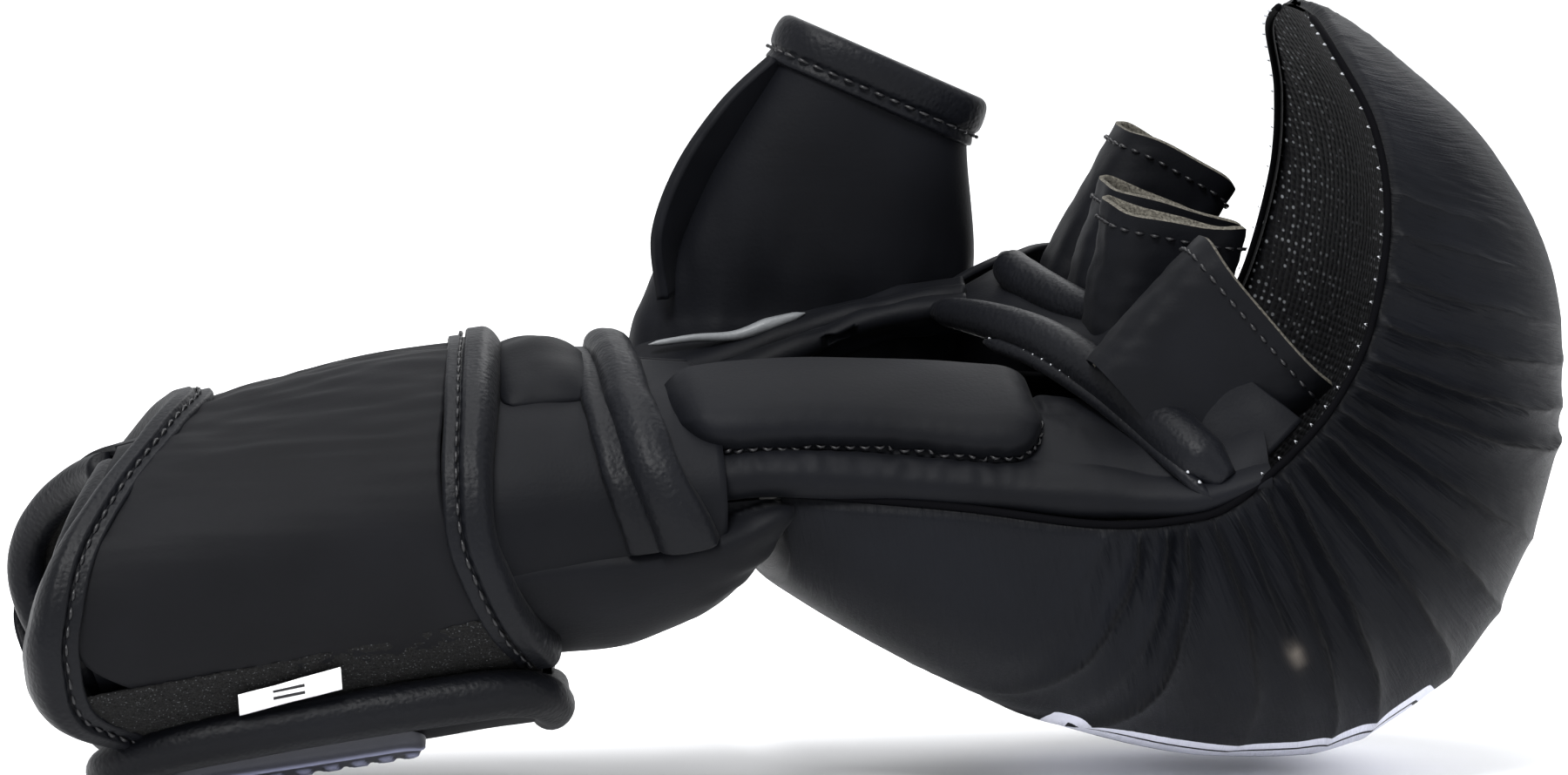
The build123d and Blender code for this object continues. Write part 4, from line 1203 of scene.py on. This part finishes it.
def make_thumb():
    """The thumb sheath: soft leather tube, side flap with its stitches, bound edge and inner lining."""
    grid = thumb_grid(0.0, 6.0, fine(90))
    low = 1 - ease(np.linspace(0, 6, grid.shape[0]), 1.5, 4.0)
    folds = ripple(grid * (1.0, 1.0, 0.5), 8, 2.7) * low[:, None] * 1.3
    radial = 0.6 * ripple(grid * (1.6, 1, 0.35), 5, 9.1) * low[:, None]
    soft = 0.8 * ripple(grid, 19, 5.5)
    out, sign = ring_normals(grid)
    grid = grid + out * (folds + radial + soft)[..., None]
    sheath = surface("thumb_leather_sheath", grid, PANEL_LEATHER, wrap=True, flip=sign < 0)
    inner = surface("thumb_inner_lining", grid - out * THUMB_WALL, INNER_CLOTH, wrap=True, flip=sign > 0)
    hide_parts("thumb_palm_panel", "thumb_outer_panel", "thumb_foam",
                "gusset_palm_panel", "gusset_outer_panel")
    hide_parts("thumb_lining")
    ring = thumb_grid(5.6, 6.0, 2)[-1]
    lean = np.radians(-23)
    axis = np.array([-np.sin(lean), 0, np.cos(lean)])
    profile = [(0.6, -5.2), (1.6, -4.6), (1.2, -2.9), (1.9, -1.5), (2.0, 1.2), (1.5, 3.1), (0.2, 3.9)]
    profile += [(-1.4, 3.5), (-2.2, 1.5), (-2.2, -3.5)]
    centre = ring.mean(axis=0)
    outward = ring - centre
    outward /= np.linalg.norm(outward, axis=1, keepdims=True)
    rows = spline(profile, np.linspace(0, len(profile) - 1, 40))
    bound = np.stack([ring + outward * r + axis * h for r, h in rows], axis=0)
    bound += 0.25 * ripple(bound, 6, 3.3)[..., None] * outward[None]
    binding = surface("thumb_edge_binding_fold", bound, GRAINED, wrap=True, flip=False)
    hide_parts("thumb_edge_binding")
    path = np.concatenate([ring + outward * 1.75 - axis * 2.9] * 2)[: len(ring) + 1]
    facing = np.concatenate([outward] * 2)[: len(ring) + 1]
    thread = stitches("thumb_edge_stitches", [(path, facing)], THREAD, 2.2, 0.9)
    seam = resample([(-14.0, 40, 84), (-12.3, 40, 93), (-6.6, 39.5, 105), (1.0, 39, 116), (6.0, 38.5, 124.5)], 60)
    tip = resample([(-17.5, 33, 82), (-18.6, 33, 94), (-14.0, 33.5, 106.5), (-5.6, 34.5, 118), (3.5, 36, 126)], 60)
    share = np.linspace(0, 1, 14)
    flap_grid = between(seam, tip, share)
    flap_grid += 0.5 * ripple(flap_grid, 7, 1.1)[..., None] * np.array([0.3, 1, 0])
    flap = shell("thumb_side_flap", flap_grid, THUMB_FLAP, PANEL_LEATHER, flip=True)
    line = flap_grid[:, 8]
    facing = np.tile([0.0, -1.0, 0.0], (len(line), 1))
    flap_thread = stitches("thumb_flap_stitches", [(line + np.array([0, -0.3, 0]), facing)], THREAD, 2.1, 1.0)
    glue_path = [(-20, 27.5, 74.5), (-12, 27.8, 75.5), (-4, 28.2, 75.8), (2, 28.6, 77.6), (9, 29, 79.6)]
    glue = tube("thumb_base_glue_line", glue_path, [0.5, 0.7, 0.9, 1.3, 0.6], GLUE, 10, (0.2, 0.2), up=(0, 1, 0))
    pieces = [(sheath, "cover_leather"), (inner, "lining_fabric"), (binding, "binding_leather")]
    pieces += [(thread, "binding_leather"), (flap, "cover_leather"), (flap_thread, "cover_leather")]
    for piece, slot in pieces:
        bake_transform(piece)
    dress("hand", {glue: "cover_leather"})


# ---- Studio -------------------------------------------------------------------------------------
def make_stage():
    """A pale floor, an even white surround and soft lights."""
    material, tree, shader = new_material("studio_floor")
    shader.inputs["Base Color"].default_value = (0.97, 0.97, 0.975, 1)
    shader.inputs["Roughness"].default_value = 0.8
    far, drop = 6000, -1.0
    corners = [(x, y, drop) for x, y in ((-far, -far), (far, -far), (far, far), (-far, far))]
    floor = mesh_object("studio_floor", corners, [[0, 1, 2, 3]], material)
    bpy.context.scene.view_settings.view_transform = "Standard"
    world = bpy.data.worlds.new("studio_world")
    bpy.context.scene.world = world
    world.use_nodes = True
    background = world.node_tree.nodes["Background"]
    background.inputs["Color"].default_value = (0.96, 0.975, 1.0, 1)
    background.inputs["Strength"].default_value = 1.06
    lights = [
        # name, place, size, power
        ("key", (-0.45, -0.85, 1.25), 0.45, 30),
        ("fill", (0.95, -0.9, 0.7), 0.7, 3),
        ("rim", (0.5, 0.9, 0.9), 0.7, 5),
        ("top", (-0.1, 0.1, 1.3), 0.8, 10),
    ]
    target = Vector((0, 0, 0.06))
    for name, place, size, power in lights:
        light = bpy.data.lights.new(name, "AREA")
        light.energy = power
        light.size = size
        lamp = bpy.data.objects.new(name, light)
        lamp.location = place
        lamp.rotation_euler = (target - Vector(place)).to_track_quat("-Z", "Y").to_euler()
        bpy.context.scene.collection.objects.link(lamp)


def make_camera():
    """A long lens from the wrist side of square, a little above the glove."""
    side, above = math.radians(10), math.radians(6)
    looking = Vector((math.sin(side) * math.cos(above), math.cos(side) * math.cos(above), -math.sin(above)))
    distance, frame_width = 2.2, 0.2801
    camera_data = bpy.data.cameras.new("camera")
    camera_data.sensor_width = 36
    camera_data.lens = 36 * distance / frame_width
    camera_data.clip_end = 50
    camera = bpy.data.objects.new("camera", camera_data)
    target = Vector((0, 0, 0.0692))
    camera.location = target - looking * distance
    camera.rotation_euler = looking.to_track_quat("-Z", "Y").to_euler()
    bpy.context.scene.collection.objects.link(camera)
    bpy.context.scene.camera = camera


make_pad()
make_linings()
make_pad_seam()
make_cuff()
make_cuff_trims()
make_strap()
make_loop_and_label()
make_tab()
make_near_side()
make_thumb_side()
make_rolls()
make_finger_base()
make_index_side()
make_stalls()
make_thumb()
make_stage()
make_camera()
